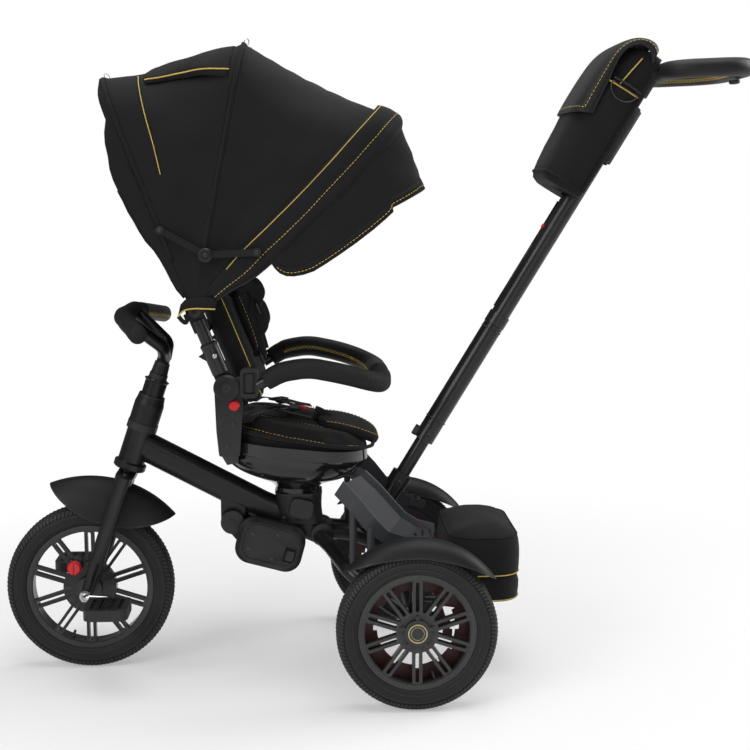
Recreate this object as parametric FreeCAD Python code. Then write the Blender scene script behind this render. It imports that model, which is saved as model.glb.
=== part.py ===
"""Children's stroller tricycle: steered and pedalled front wheel, two braked rear wheels,
swivelling reclining seat with armrest and folding canopy, telescopic push bar.

Units are millimetres. +X points to the rear (push bar), +Y to the rider's right when the rider
faces the front wheel, +Z up. The origin is on the ground under the middle of the tricycle.
"""
import FreeCAD, Part
import math
import os

V = FreeCAD.Vector

# ------------------------------------------------------------------ driving dimensions
clearance = 0.3            # gap kept between bodies that pass each other
running = 0.05             # radial running clearance of shafts and pins
seat_gap = 0.1             # gap between pieces of one body that touch on curved faces

# wheels
front_wheel_r = 141.0
front_rim_r = 107.0
front_wheel_x = -482.0
rear_wheel_r = 127.0
rear_rim_r = 93.0
rear_axle_x = 59.0
half_track = 231.0
tyre_w = 46.0
rim_w = 34.0
rim_lip = 4.0              # width of the rim's turned-out lip
rim_wall = 3.0
rim_well = 6.0             # depth of the tyre seat below the lip
spoke_pairs = 10
spoke_bar_w = 5.0
spoke_slot_w = 6.0
spoke_depth = 12.0
hub_r = 21.0
hub_w = 40.0
axle_r = 6.0

# steering
steer_lean = 18.6          # axis leans back from the vertical, degrees
head_bottom_s = 214.0      # distances along the steering axis from the front wheel centre
head_top_s = 292.0
head_tube_r = 23.0
head_ring_r = 27.5
head_ring_h = 11.0
head_bore_r = 18.0
steerer_r = 13.0
cover_r = 26.0
cover_wall = 2.5
cover_band_h = 13.0
cover_bottom_s = 284.0
cover_top_s = 346.0
collar_r = 18.8
collar_lip_r = 21.0
collar_top_s = 373.0
boot_bottom_r = 15.6
boot_top_r = 12.8
boot_top_s = 404.0
fork_leg_r = 12.5
fork_leg_y = 58.5
fork_tip_r = 10.0
crown_s = 195.5            # underside of the fork crown
crown_t = 14.0
bar_r = 11.0
grip_r = 14.3
grip_end_y = 190.0

# front fender
fender_r = 190.0           # crest radius about the wheel
fender_half_w = 44.0
fender_rise = 75.0         # height of its elliptical cross-section
fender_t = 2.5
fender_from = 40.0
fender_to = 110.0
fender_edge = 118.0        # radius of the lowest point of its side edge

# crank and pedals
crank_r = 5.5
crank_throw = 46.0
crank_bend_y = 80.5        # the throw lies outside the fork legs
pedal_in_y = 96.0
pedal_w = 78.0
pedal_len = 71.0
pedal_t = 18.0

# rear fenders
rear_fender_tube = 28.0    # half width of the arched cross-section
rear_fender_centre = 121.0 # radius of the middle of that arch about the wheel
rear_fender_t = 2.5
rear_fender_edge = 120.0   # radius of the side edge above the axle
rear_fender_from = 33.0
rear_fender_to = 140.0

# frame
tube_h = 50.0
tube_w = 38.0
tube_line = [(-400.0, 389.5), (-190.0, 277.5), (-86.0, 231.5)]   # x, z of its middle line
seat_axis_x = -128.0
post_top_z = 303.0
side_tube_r = 12.5
side_tube_y = 178.0
axle_bar_r = 11.0
axle_bar_end = side_tube_y + side_tube_r + 2.0
cross_r = 19.0
cross_half_w = 36.0
spine_r = 14.0

# push bar
push_angle = 58.8          # from the ground, degrees
push_x = 66.2              # a point of its axis
push_z = 352.4
push_low_s = -108.0        # distances along the axis from that point
socket_top_s = -26.0
socket_r = 15.6
low_tube_r = 12.0
low_tube_top_s = 72.0
sleeve_from_s = 42.0
sleeve_to_s = 293.0
sleeve_r = 17.3
upper_r = 16.0
upper_wall = 1.8
upper_from_s = 222.0
upper_to_s = 752.0
push_travel = 150.0
handle_y = 104.0
handle_r = 15.0
handle_front_x = 462.0
handle_tip_x = 622.0
handle_z = 1003.0

# seat
tub_half_x = 121.0
tub_half_y = 142.0
tub_x = -131.0
tub_tilt = 9.0             # rim falls towards the rear of the tricycle, degrees
tub_rim_z = 396.0
tub_wall = 3.5
spigot_r = 20.0
boss_x = -237.5
boss_z = 502.0
boss_r = 21.0
boss_y = 144.0
bracket_y = 132.0
back_lean = 22.4           # of the back tubes from the vertical, degrees
back_tube_r = 10.5
canopy_x = -286.0
canopy_z = 624.0

# canopy
bow_r = 4.0
bow_y = 170.0
rear_bow = (111.0, 379.0)  # angle from +X about the pivot, radius of its top
middle_bow = (79.0, 416.0)
front_bow = (43.0, 434.0)
bow_corner = 62.0
cloth_t = 2.4
roof_sag = 12.0

# armrest
arm_foam_r = 16.5
arm_core_r = 9.0
arm_line = [(-188.0, 152.0, 505.0), (-152.0, 158.0, 527.0), (-108.0, 160.0, 534.5),
            (-45.0, 158.0, 522.0), (8.0, 130.0, 503.0), (16.0, 0.0, 498.0)]

# storage
bag_x0 = 122.0
bag_x1 = 243.0
bag_half_y = 116.0
lid_hinge = (124.0, 0.0, 180.0)
lid_low_z = 178.0
lid_top_z = 232.0
lid_crown = 12.0
basket_low_z = 133.0
bin_lean = 6.0
bin_rim_in = 13.0
bin_wall = 4.0

lean = math.radians(steer_lean)
UP = V(math.sin(lean), 0, math.cos(lean))
FORE = V(-math.cos(lean), 0, math.sin(lean))
HUB_F = V(front_wheel_x, 0, front_wheel_r)
Y = V(0, 1, 0)
Z = V(0, 0, 1)


# ------------------------------------------------------------------ helpers
def steer(s, f=0.0, y=0.0):
    """Point at distance s up the steering axis, f in front of it and y to the side."""
    return HUB_F + UP * s + FORE * f + V(0, y, 0)


push_dir = V(math.cos(math.radians(push_angle)), 0, math.sin(math.radians(push_angle)))
PUSH_P = V(push_x, 0, push_z)


def push(s):
    return PUSH_P + push_dir * s


def polar(angle, r, y=0.0, x=canopy_x, z=canopy_z):
    a = math.radians(angle)
    return V(x + r * math.cos(a), y, z + r * math.sin(a))


def joined(shapes):
    first = shapes[0]
    return first.fuse(shapes[1:]).removeSplitter() if len(shapes) > 1 else first


def group(shapes):
    return Part.makeCompound(shapes)


def mirrored(shape):
    return shape.mirror(V(0, 0, 0), Y)


def box(x0, x1, y0, y1, z0, z1):
    return Part.makeBox(x1 - x0, y1 - y0, z1 - z0, V(x0, y0, z0))


def rod(a, b, r):
    return Part.makeCylinder(r, a.distanceToPoint(b), a, b.sub(a))


def polygon(points, closed=True):
    return Part.makePolygon(points + points[:1] if closed else points)


def turned(origin, axis, profile):
    """Solid of revolution; profile is a closed list of (distance along the axis, radius)."""
    axis = V(axis).normalize()
    side = axis.cross(Y) if abs(axis.y) < 0.9 else V(1, 0, 0)
    side.normalize()
    points = [origin + axis * s + side * r for s, r in profile]
    return Part.Face(polygon(points)).revolve(origin, axis, 360)


def rounded_path(points, bends):
    """Straight runs joined by tangent arcs; bends holds one radius per inner point."""
    edges = []
    start = points[0]
    for i in range(1, len(points) - 1):
        before = (points[i - 1] - points[i]).normalize()
        after = (points[i + 1] - points[i]).normalize()
        half = before.getAngle(after) / 2
        reach = bends[i - 1] / math.tan(half)
        a, b = points[i] + before * reach, points[i] + after * reach
        centre = points[i] + (before + after).normalize() * (bends[i - 1] / math.sin(half))
        mid = centre + (points[i] - centre).normalize() * bends[i - 1]
        edges += [Part.LineSegment(start, a).toShape(), Part.Arc(a, mid, b).toShape()]
        start = b
    edges.append(Part.LineSegment(start, points[-1]).toShape())
    return Part.Wire(edges)


def piped(path, r):
    edge = path.Edges[0]
    start = edge.valueAt(edge.FirstParameter)
    along = edge.tangentAt(edge.FirstParameter)
    ring = Part.Wire(Part.makeCircle(r, start, along))
    return path.makePipeShell([ring], True, False)


def bent_tube(points, bends, r):
    return piped(rounded_path(points, bends), r)


def slab(outline, y0, y1):
    """Plate between y0 and y1 whose outline is a list of (x, z)."""
    face = Part.Face(polygon([V(x, y0, z) for x, z in outline]))
    return face.extrude(V(0, y1 - y0, 0))


def pill(centre, u, v, half_u, half_v, corner):
    """Closed rounded-rectangle wire in the plane of unit vectors u and v."""
    corner = min(corner, half_u * 0.98, half_v * 0.98)
    cu, cv = half_u - corner, half_v - corner
    k = corner * math.sqrt(0.5)
    edges = []
    spots = [(1, 1), (-1, 1), (-1, -1), (1, -1)]
    starts = [(cu + corner, cv), (-cu, cv + corner), (-cu - corner, -cv), (cu, -cv - corner)]
    ends = [(cu, cv + corner), (-cu - corner, cv), (-cu, -cv - corner), (cu + corner, -cv)]
    place = lambda p: centre + u * p[0] + v * p[1]
    for i in range(4):
        su, sv = spots[i]
        mid = (su * (cu + k), sv * (cv + k))
        edges.append(Part.Arc(place(starts[i]), place(mid), place(ends[i])).toShape())
        edges.append(Part.LineSegment(place(ends[i]), place(starts[(i + 1) % 4])).toShape())
    return Part.Wire(edges)


def prism(wire, direction):
    return Part.Face(wire).extrude(direction)


def lofted(wires, ruled=False):
    return Part.makeLoft(wires, True, ruled)


def softened(shape, r, pick=lambda e: True):
    """Fillet the picked edges."""
    return shape.makeFillet(r, [e for e in shape.Edges if pick(e)])


# ------------------------------------------------------------------ wheels
def wheel_place(shape, x, z, y=0.0, side=-1):
    """Move a wheel built about the Y axis (outer face towards -Y) to its place."""
    shape = shape.copy() if side < 0 else mirrored(shape)
    shape.translate(V(x, y, z))
    return shape


def tyre(r, rim_r):
    seat = rim_r - rim_well + seat_gap
    bead = rim_w / 2 - rim_lip - seat_gap
    half = tyre_w / 2
    mid_r = (rim_r + r) / 2
    side = [(-bead, rim_r - 1.0), (-rim_w / 2 - 2.0, rim_r + 3.0), (-half, mid_r),
            (-half * 0.74, r - 4.5), (0, r)]
    crown = side + [(-y, z) for y, z in reversed(side[:-1])]
    curve = Part.BSplineCurve()
    curve.interpolate([V(0, y, z) for y, z in crown])
    base = polygon([V(0, bead, rim_r - 1.0), V(0, bead, seat), V(0, -bead, seat),
                    V(0, -bead, rim_r - 1.0)], closed=False)
    section = Part.Wire([curve.toShape()] + base.Edges)
    body = Part.Face(section).revolve(V(0, 0, 0), Y, 360)
    lips = []
    for side in (-1, 1):
        lip = [(side * bead, seat - 3), (side * bead, rim_r + seat_gap),
               (side * (rim_w / 2 + seat_gap), rim_r + seat_gap), (side * (rim_w / 2 + seat_gap), seat - 3)]
        lips.append(turned(V(0, 0, 0), Y, lip))
    return body.cut(lips)


def spoke_gap(outer_r, y0, y1):
    """Opening between two neighbouring twin spokes, centred on +X."""
    half = spoke_bar_w + spoke_slot_w / 2
    step = math.pi / spoke_pairs
    tip = V(half / math.sin(step), y0, 0)
    reach = math.sqrt(outer_r ** 2 - half ** 2)
    x = reach * math.cos(step) + half * math.sin(step)
    z = reach * math.sin(step) - half * math.cos(step)
    arc = Part.Arc(V(x, y0, z), V(outer_r, y0, 0), V(x, y0, -z)).toShape()
    sides = [Part.LineSegment(tip, V(x, y0, z)).toShape(), arc,
             Part.LineSegment(V(x, y0, -z), tip).toShape()]
    return prism(Part.Wire(sides), V(0, y1 - y0, 0))


def spoke_slot(outer_r, y0, y1):
    """Slot between the two bars of a spoke, with a round end near the hub."""
    r = spoke_slot_w / 2
    start = hub_r + 2 * spoke_slot_w
    mid = V((start + outer_r) / 2, y0, 0)
    outline = pill(mid, V(1, 0, 0), Z, (outer_r - start) / 2, r, r * 0.95)
    return prism(outline, V(0, y1 - y0, 0))


def rim(rim_r, hub_in, hub_out, bore_to, bosses=()):
    """Deep-barrelled wheel rim with twin spokes near its outer (-Y) face."""
    seat = rim_r - rim_well
    inner = seat - rim_wall
    w = rim_w / 2
    barrel = turned(V(0, 0, 0), Y, [(-w, rim_r), (-w, inner), (w, inner), (w, rim_r),
                                    (w - rim_lip, rim_r), (w - rim_lip, seat),
                                    (-w + rim_lip, seat), (-w + rim_lip, rim_r)])
    hub = rod(V(0, hub_out, 0), V(0, hub_in, 0), hub_r)
    y0, y1 = -w + 1.5, -w + 1.5 + spoke_depth
    web = rod(V(0, y0, 0), V(0, y1, 0), inner + rim_wall / 2)
    holes = []
    for i in range(spoke_pairs):
        for hole, turn in ((spoke_gap(inner - 1.5, y0 - 1, y1 + 1), i),
                           (spoke_slot(inner - 3.0, y0 - 1, y1 + 1), i + 0.5)):
            hole.rotate(V(0, 0, 0), Y, 360.0 / spoke_pairs * turn)
            holes.append(hole)
    whole = joined([barrel, hub, web.cut(holes)] + list(bosses))
    return whole.cut(rod(V(0, bore_to, 0), V(0, hub_in + 1, 0), axle_r + running))


knob_angle = 120.0
knob_r = 45.0
knob_stem_r = 5.0
knob_seat_y = -24.0


def knob_spot(y):
    a = math.radians(knob_angle)
    return V(knob_r * math.cos(a), y, knob_r * math.sin(a))


def front_rim():
    boss = rod(knob_spot(-3.0), knob_spot(knob_seat_y), 12.0)
    shell = rod(V(0, -3.0, 0), V(0, -19.0, 0), knob_r)
    shape = rim(front_rim_r, hub_w / 2 + 8, -hub_w / 2 - 8, -hub_w / 2 - 9, [boss, shell])
    shape = shape.cut(rod(knob_spot(-10.0), knob_spot(knob_seat_y - 1), knob_stem_r + running))
    return wheel_place(shape, front_wheel_x, front_wheel_r)


def clutch_knob():
    """Pull knob that locks the pedals to the wheel."""
    grip = turned(knob_spot(knob_seat_y - clearance), V(0, -1, 0),
                  [(0, 0), (0, 8.0), (4, 11.0), (14, 12.0), (17.5, 9.5), (17.5, 0)])
    groove = box(-1.6, 1.6, knob_seat_y - 20, knob_seat_y - 15, -14, 14)
    groove.translate(knob_spot(0))
    stem = rod(knob_spot(knob_seat_y - 1), knob_spot(-12.5), knob_stem_r)
    return wheel_place(joined([grip.cut(groove), stem]), front_wheel_x, front_wheel_r)


rear_hub_in = hub_w / 2
rear_hub_out = -hub_w / 2
cap_r = 15.0
cap_t = 3.0
disc_r = 33.0


def rear_rim(side):
    disc = rod(V(0, rear_hub_out + cap_t + 1.5, 0), V(0, -6.0, 0), disc_r)
    shape = rim(rear_rim_r, rear_hub_in, rear_hub_out, rear_hub_out + cap_t + 2.0, [disc])
    recess = rod(V(0, rear_hub_out - 1, 0), V(0, rear_hub_out + cap_t, 0), cap_r + seat_gap)
    return wheel_place(shape.cut(recess), rear_axle_x, rear_wheel_r, side * half_track, side)


def hub_cap(side):
    """Plain domed centre cap seated in the hub."""
    base = V(0, rear_hub_out + cap_t, 0)
    cap = turned(base, V(0, -1, 0), [(0, 0), (0, cap_r), (cap_t, cap_r), (cap_t + 1.5, cap_r - 2),
                                     (cap_t + 2.2, cap_r * 0.4), (cap_t + 2.3, 0)])
    return wheel_place(cap, rear_axle_x, rear_wheel_r, side * half_track, side)


ring_in_r = 62.0
ring_notches = 12
ring_y0 = 11.0
ring_y1 = 15.0


def brake_ring(side):
    """Notched ring in the inner side of the wheel that the brake pawl locks into."""
    outer = rear_rim_r - rim_well - rim_wall - seat_gap
    ring = rod(V(0, ring_y0, 0), V(0, ring_y1, 0), outer)
    ring = ring.cut(rod(V(0, ring_y0 - 1, 0), V(0, ring_y1 + 1, 0), ring_in_r))
    notches = []
    for i in range(ring_notches):
        notch = box(ring_in_r - 2, ring_in_r + 6, ring_y0 - 1, ring_y1 + 1, -4.5, 4.5)
        notch.rotate(V(0, 0, 0), Y, 360.0 / ring_notches * i)
        notches.append(notch)
    return wheel_place(ring.cut(notches), rear_axle_x, rear_wheel_r, side * half_track, side)


def front_tyre():
    return wheel_place(tyre(front_wheel_r, front_rim_r), front_wheel_x, front_wheel_r)


def rear_tyre(side):
    shape = tyre(rear_wheel_r, rear_rim_r)
    return wheel_place(shape, rear_axle_x, rear_wheel_r, side * half_track, side)


# ------------------------------------------------------------------ steering
fork_axle_hole = axle_r + running


def fork():
    """Two legs, crown and steerer."""
    top = crown_s + crown_t
    legs = []
    for y in (-fork_leg_y, fork_leg_y):
        legs.append(turned(steer(0, 0, y), UP, [(-13, 0), (-13, fork_tip_r - 3), (-9, fork_tip_r),
                                                (25, fork_tip_r), (60, fork_leg_r),
                                                (top, fork_leg_r), (top, 0)]))
    plate = pill(steer(crown_s), FORE, Y, 15.0, fork_leg_y + 3.0, 12.0)
    crown = prism(plate, UP * crown_t)
    steerer = rod(steer(crown_s), steer(collar_top_s - 12), steerer_r)
    whole = joined(legs + [crown, steerer])
    return whole.cut(rod(steer(0, 0, -90), steer(0, 0, 90), fork_axle_hole))


def front_fender():
    """Saddle-shaped shell whose sides run down between the legs and the tyre."""
    base = fender_r - fender_rise

    def arch(grow):
        wide, tall = fender_half_w - grow, fender_rise - grow
        points = [V(0, -wide * math.cos(math.pi * i / 12), base + tall * math.sin(math.pi * i / 12))
                  for i in range(13)]
        curve = Part.BSplineCurve()
        curve.interpolate(points)
        return curve, points

    outer, po = arch(0)
    inner, pi = arch(fender_t)
    section = Part.Wire([outer.toShape(), Part.LineSegment(po[-1], pi[-1]).toShape(),
                         inner.toShape(), Part.LineSegment(pi[0], po[0]).toShape()])
    shell = Part.Face(section).revolve(V(0, 0, 0), Y, fender_to - fender_from + 8)
    shell.rotate(V(0, 0, 0), Y, 90.0 - fender_to - 4)
    half = math.radians(fender_to - fender_from) / 2
    rise = fender_r * math.cos(half) - fender_edge
    cut_r = ((fender_r * math.sin(half)) ** 2 + rise ** 2) / (2 * rise)
    mid = math.radians((fender_to + fender_from) / 2)
    centre = V(math.cos(mid), 0, math.sin(mid)) * (fender_edge + cut_r)
    shell = shell.common(rod(centre - Y * 80, centre + Y * 80, cut_r))
    shell.translate(HUB_F)
    mount = steer(crown_s - clearance)
    boss = rod(mount, steer(fender_r - fender_t * 0.5), 9.0)
    return joined([shell, boss]).removeSplitter()


def head_bearings():
    """Two bearing rings that centre the steerer in the head tube."""
    rings = []
    for s0, s1 in ((head_bottom_s + 3, head_bottom_s + 15), (head_top_s - 14, head_top_s - 2)):
        rings.append(turned(steer(0), UP, [(s0, steerer_r + running), (s0, head_bore_r - seat_gap),
                                           (s1, head_bore_r - seat_gap),
                                           (s1, steerer_r + running)]))
    return group(rings)


def headset_cover():
    """Domed sleeve over the top of the head tube."""
    wall = cover_wall
    hole = collar_r + 1.0
    band = cover_bottom_s + cover_band_h
    bore = head_tube_r + seat_gap
    profile = [(cover_bottom_s, bore), (cover_bottom_s, cover_r), (band, cover_r),
               (band + 1, cover_r - 1), (cover_top_s - 16, cover_r - 1), (cover_top_s - 7, cover_r - 3),
               (cover_top_s, hole + 2.5), (cover_top_s, hole), (cover_top_s - 3, hole),
               (cover_top_s - 9, cover_r - 3 - wall), (head_top_s + 1, cover_r - 1 - wall),
               (head_top_s + 1, bore)]
    return turned(steer(0), UP, profile)


def stem_collar():
    """Clamp collar with a turned-out lip; it turns with the handlebar."""
    inner = steerer_r + seat_gap
    s0 = head_top_s + 8
    profile = [(s0, inner), (s0, collar_r), (collar_top_s - 3, collar_r),
               (collar_top_s - 1, collar_lip_r), (collar_top_s, collar_lip_r),
               (collar_top_s, inner)]
    return turned(steer(0), UP, profile)


def stem_boot():
    """Tapered rubber sleeve between collar and handlebar."""
    inner = bar_r + seat_gap
    s0 = collar_top_s + seat_gap
    profile = [(s0, inner), (s0, boot_bottom_r), (s0 + 10, boot_bottom_r),
               (s0 + 13, boot_bottom_r - 1.4), (boot_top_s, boot_top_r), (boot_top_s, inner)]
    return turned(steer(0), UP, profile)


grip_line = [steer(461, 37, 190), steer(465.5, 78, 78), steer(459, 86, 0)]


def bar_line(grow):
    """Bent tube that runs from grip to grip."""
    right = grip_line
    left = [V(p.x, -p.y, p.z) for p in right]
    line = [left[0], left[1], right[2], right[1], right[0]]
    return bent_tube(line, [30.0, 60.0, 30.0], bar_r + grow)


def stem_arms(grow):
    """Two arms of the Y-shaped stem."""
    arms = []
    for side in (-1, 1):
        points = [steer(boot_top_s + 10, -1, side * 3), steer(boot_top_s + 30, 4, side * 38),
                  V(grip_line[1].x, side * grip_line[1].y, grip_line[1].z)]
        arms.append(bent_tube(points, [24.0], bar_r + grow))
    return joined(arms)


def handlebar():
    """Stem with two arms and the bar that carries the grips."""
    stem = rod(steer(collar_top_s - 11), steer(boot_top_s + 12), bar_r)
    return joined([stem, stem_arms(0.0), bar_line(0.0)])


def handlebar_grips():
    """Foam sleeves over the two grips and the cross bar, with closed ends."""
    right = grip_line
    left = [V(p.x, -p.y, p.z) for p in right]
    end = (right[0] - right[1]).normalize() * 3.0
    end_l = V(end.x, -end.y, end.z)
    line = [left[0] + end_l, left[1], right[2], right[1], right[0] + end]
    foam = bent_tube(line, [30.0, 60.0, 30.0], grip_r)
    return foam.cut(bar_line(seat_gap)).cut(stem_arms(seat_gap))


def crank():
    """Bent chrome rod: spindle through the hub, two throws and the pedal pins."""
    throw = V(crank_throw, 0, -3.0)
    near = [HUB_F, HUB_F - Y * crank_bend_y, HUB_F - Y * crank_bend_y + throw,
            HUB_F - Y * (pedal_in_y + pedal_w - 8) + throw]
    half = bent_tube(near, [9.0, 9.0], axle_r)
    other = half.copy()
    other.rotate(HUB_F, Z, 180)
    other = other.mirror(HUB_F, Z)
    return joined([half, other])


def pedal_pin(side, y):
    return HUB_F + V(crank_throw, 0, -3.0) * -side + Y * side * y


def pedal(side):
    """Rounded block with ribbed faces."""
    centre = pedal_pin(side, pedal_in_y + pedal_w / 2)
    outline = pill(centre - Z * (pedal_t / 2), V(1, 0, 0), Y, pedal_len / 2, pedal_w / 2, 16.0)
    block = prism(outline, Z * pedal_t)
    slots = []
    for i in range(4):
        x = centre.x - 22.5 + 15.0 * i
        slots.append(box(x - 3.5, x + 3.5, centre.y - 27, centre.y + 27,
                         centre.z + pedal_t / 2 - 3, centre.z + pedal_t / 2 + 1))
    bore = rod(pedal_pin(side, pedal_in_y - 1), pedal_pin(side, pedal_in_y + pedal_w - 7),
               axle_r + running)
    return block.cut(slots).cut(bore)


# ------------------------------------------------------------------ frame
def at_line(i):
    return V(tube_line[i][0], 0, tube_line[i][1])


def oval_section(centre, along, grow=0.0):
    u = Y
    v = along.cross(Y).normalize()
    half_u, half_v = tube_w / 2 + grow, tube_h / 2 + grow
    return pill(centre, u, v, half_u, half_v, half_u * 0.96)


def main_tube(grow=0.0):
    """Oval down tube in two straight runs."""
    a, b, c = at_line(0), at_line(1), at_line(2)
    first = (b - a).normalize()
    second = (c - b).normalize()
    middle = (first + second).normalize()
    return joined([lofted([oval_section(a, first, grow), oval_section(b, middle, grow)], True),
                   lofted([oval_section(b, middle, grow), oval_section(c, second, grow)], True)])


def head_tube_solid():
    s0, s1 = head_bottom_s, head_top_s
    ring = s0 + head_ring_h
    return turned(steer(0), UP, [(s0, 0), (s0, head_ring_r - 2), (s0 + 2, head_ring_r),
                                 (ring, head_ring_r), (ring + 3, head_tube_r), (s1, head_tube_r),
                                 (s1, 0)])


def cross_block(grow=0.0):
    c = at_line(2)
    reach = cross_half_w + grow
    return rod(c - Y * reach, c + Y * reach, cross_r + grow)


def main_frame():
    """Head tube, oval down tube and the cross block that carries the rear frame."""
    bore = rod(steer(head_bottom_s - 5), steer(head_top_s + 5), head_bore_r)
    floor = turned(steer(0), UP, [(head_bottom_s - 1, steerer_r + 1.0), (head_bottom_s - 1, 0),
                                  (head_bottom_s + 3, 0), (head_bottom_s + 3, steerer_r + 1.0)])
    body = joined([head_tube_solid(), main_tube(), cross_block()])
    inner_bore = bore.cut(rod(steer(head_bottom_s - 6), steer(head_bottom_s + 3), head_bore_r + 1))
    return body.cut(inner_bore).cut(floor)


post_bore_r = spigot_r + running
post_low_z = 250.0


def post_sections(grow=0.0):
    x = V(1, 0, 0)
    low = pill(V(-120, 0, post_low_z), x, Y, 36 + grow, 30 + grow, 14)
    mid = pill(V(-124, 0, 278), x, Y, 37 + grow, 33 + grow, 15)
    top = pill(V(-126, 0, post_top_z), x, Y, 40 + grow, 37 + grow, 18)
    return low, mid, top


def seat_post():
    """Pillar that straddles the down tube and carries the swivelling seat."""
    post = lofted(list(post_sections()))
    post = post.cut([main_tube(seat_gap), cross_block(seat_gap)])
    bore = rod(V(seat_axis_x, 0, post_top_z - 14), V(seat_axis_x, 0, post_top_z + 1), post_bore_r)
    socket = lever_plate(-1, lever_floor, lever_face + 5, clearance)
    return post.cut(bore).cut(socket)


lever_x = -121.0
lever_z = 278.0
lever_floor = 23.0
lever_travel = 4.0
lever_face = 41.0


def lever_plate(side, y_inner, y_outer, grow=0.0):
    """Rounded release plate on the side of the seat post."""
    u = V(math.cos(math.radians(-12)), 0, math.sin(math.radians(-12)))
    v = V(-u.z, 0, u.x)
    wire = pill(V(lever_x, side * y_inner, lever_z), u, v, 19.0 + grow, 16.0 + grow, 9.0)
    return prism(wire, Y * side * (y_outer - y_inner))


def seat_release_lever():
    return lever_plate(-1, lever_floor + lever_travel + clearance, lever_face)


side_path = [(-92.0, 26.0, 229.0), (-72.0, 78.0, 221.0), (-44.0, side_tube_y - 24, 200.0),
             (18.0, side_tube_y, 152.0), (rear_axle_x, side_tube_y, rear_wheel_r)]
side_bends = [30.0, 45.0, 60.0]


def side_tube(side, r):
    return bent_tube([V(x, side * y, z) for x, y, z in side_path], side_bends, r)


def rear_frame():
    """Two curved side tubes, the centre spine and the rear axle bar."""
    cut = cross_block()
    sides = [side_tube(side, side_tube_r) for side in (-1, 1)]
    bar = rod(V(rear_axle_x, -axle_bar_end, rear_wheel_r), V(rear_axle_x, axle_bar_end, rear_wheel_r),
              axle_bar_r)
    foot = push(socket_foot_s)
    spine = bent_tube([at_line(2), V(-40, 0, 228), foot + V(16, 0, -24), V(rear_axle_x, 0, rear_wheel_r)],
                      [40.0, 40.0], spine_r)
    whole = joined(sides + [bar, spine])
    return whole.cut(cut).cut(socket_solid(0.0))


socket_foot_s = -138.0


def socket_solid(grow):
    return rod(push(socket_foot_s), push(socket_top_s), socket_r + grow)


def push_socket():
    """Clamp socket for the push bar."""
    body = rod(push(socket_foot_s), push(socket_top_s), socket_r)
    collar = turned(PUSH_P, push_dir, [(socket_top_s - 26, 0), (socket_top_s - 26, socket_r + 2.4),
                                       (socket_top_s, socket_r + 2.4), (socket_top_s, 0)])
    bore = rod(push(push_low_s), push(socket_top_s + 1), low_tube_r + running)
    return joined([body, collar]).cut(bore)


def rear_axle():
    """Stub shafts in the ends of the axle bar, with washers that keep the wheels in place."""
    stubs = []
    for side in (-1, 1):
        inner = V(rear_axle_x, side * (axle_bar_end + seat_gap), rear_wheel_r)
        wheel_in = side * (half_track - rear_hub_in - 1.0)
        outer_y = side * (half_track - rear_hub_out - cap_t - 3.0)
        shaft = rod(inner, V(rear_axle_x, outer_y, rear_wheel_r), axle_r)
        collar = rod(inner, V(rear_axle_x, wheel_in, rear_wheel_r), axle_bar_r + 3)
        stubs.append(joined([shaft, collar]))
    return group(stubs)


def rear_fender(side):
    """Arched shell over the wheel; its side edges rise to the tips."""
    outer_r, t = rear_fender_tube, rear_fender_t
    c = rear_fender_centre

    def half_ring(r):
        return Part.Arc(V(0, -r, c), V(0, 0, c + r), V(0, r, c)).toShape()

    section = Part.Wire([half_ring(outer_r), Part.LineSegment(V(0, outer_r, c), V(0, outer_r - t, c))
                         .toShape(), half_ring(outer_r - t),
                         Part.LineSegment(V(0, t - outer_r, c), V(0, -outer_r, c)).toShape()])
    span = rear_fender_to - rear_fender_from
    shell = Part.Face(section).revolve(V(0, 0, 0), Y, span + 20)
    shell.rotate(V(0, 0, 0), Y, 90.0 - rear_fender_to - 10)
    half = math.radians(span / 2)
    edge, crest = rear_fender_edge, rear_fender_centre + rear_fender_tube
    back = (crest ** 2 - edge ** 2) / (2 * (edge - crest * math.cos(half)))
    mid = math.radians((rear_fender_from + rear_fender_to) / 2)
    cut_c = V(math.cos(mid), 0, math.sin(mid)) * -back
    shell = shell.cut(rod(cut_c - Y * 40, cut_c + Y * 40, back + edge))
    shell.translate(V(rear_axle_x, side * half_track, rear_wheel_r))
    return group([shell, fender_stay(side)])


def fender_stay(side):
    """Flat stay from the axle collar up to the inner side of the shell."""
    y1 = side * (half_track - rear_fender_tube - clearance)
    y0 = y1 - side * 4.0
    a, b = V(rear_axle_x, y0, rear_wheel_r), V(rear_axle_x, y1, rear_wheel_r)
    mid = math.radians((rear_fender_from + rear_fender_to) / 2)
    tilt = V(math.cos(mid), 0, math.sin(mid))
    wide = V(-tilt.z, 0, tilt.x)
    reach = (rear_fender_centre + 5.0) / 2
    blade = prism(pill(a + tilt * reach, tilt, wide, reach, 12.0, 8.0), Y * (y1 - y0))
    hole = rod(a - Y * 9, b + Y * 9, axle_bar_r + 3 + seat_gap)
    return joined([rod(a, b, axle_bar_r + 9), blade]).cut(hole)


# footrest chute: outer rim, inner rim and lower outer edge as (x, y, z) down the leg
chute_out = [(-54, -152, 349), (-28, -160, 322), (-4, -164, 292), (18, -163, 268), (44, -160, 259),
             (84, -156, 257)]
chute_in = [(-15, -100, 357), (10, -92, 331), (32, -84, 304), (52, -80, 281), (72, -80, 268),
            (100, -86, 262)]


def panel_clearance(wires):
    """Everything from the panel's underside up, as seen by the posts below it."""
    solid = lofted(wires, True)
    lowered = solid.copy()
    lowered.translate(V(0, 0, -clearance))
    raised = solid.copy()
    raised.translate(V(0, 0, 6))
    return joined([lowered, solid, raised])


# feet of the posts under a panel and how high they may reach
panel_posts = [((-38.0, -150.0, 198.0), 110.0), ((-10.0, -160.0, 175.0), 100.0)]


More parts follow.
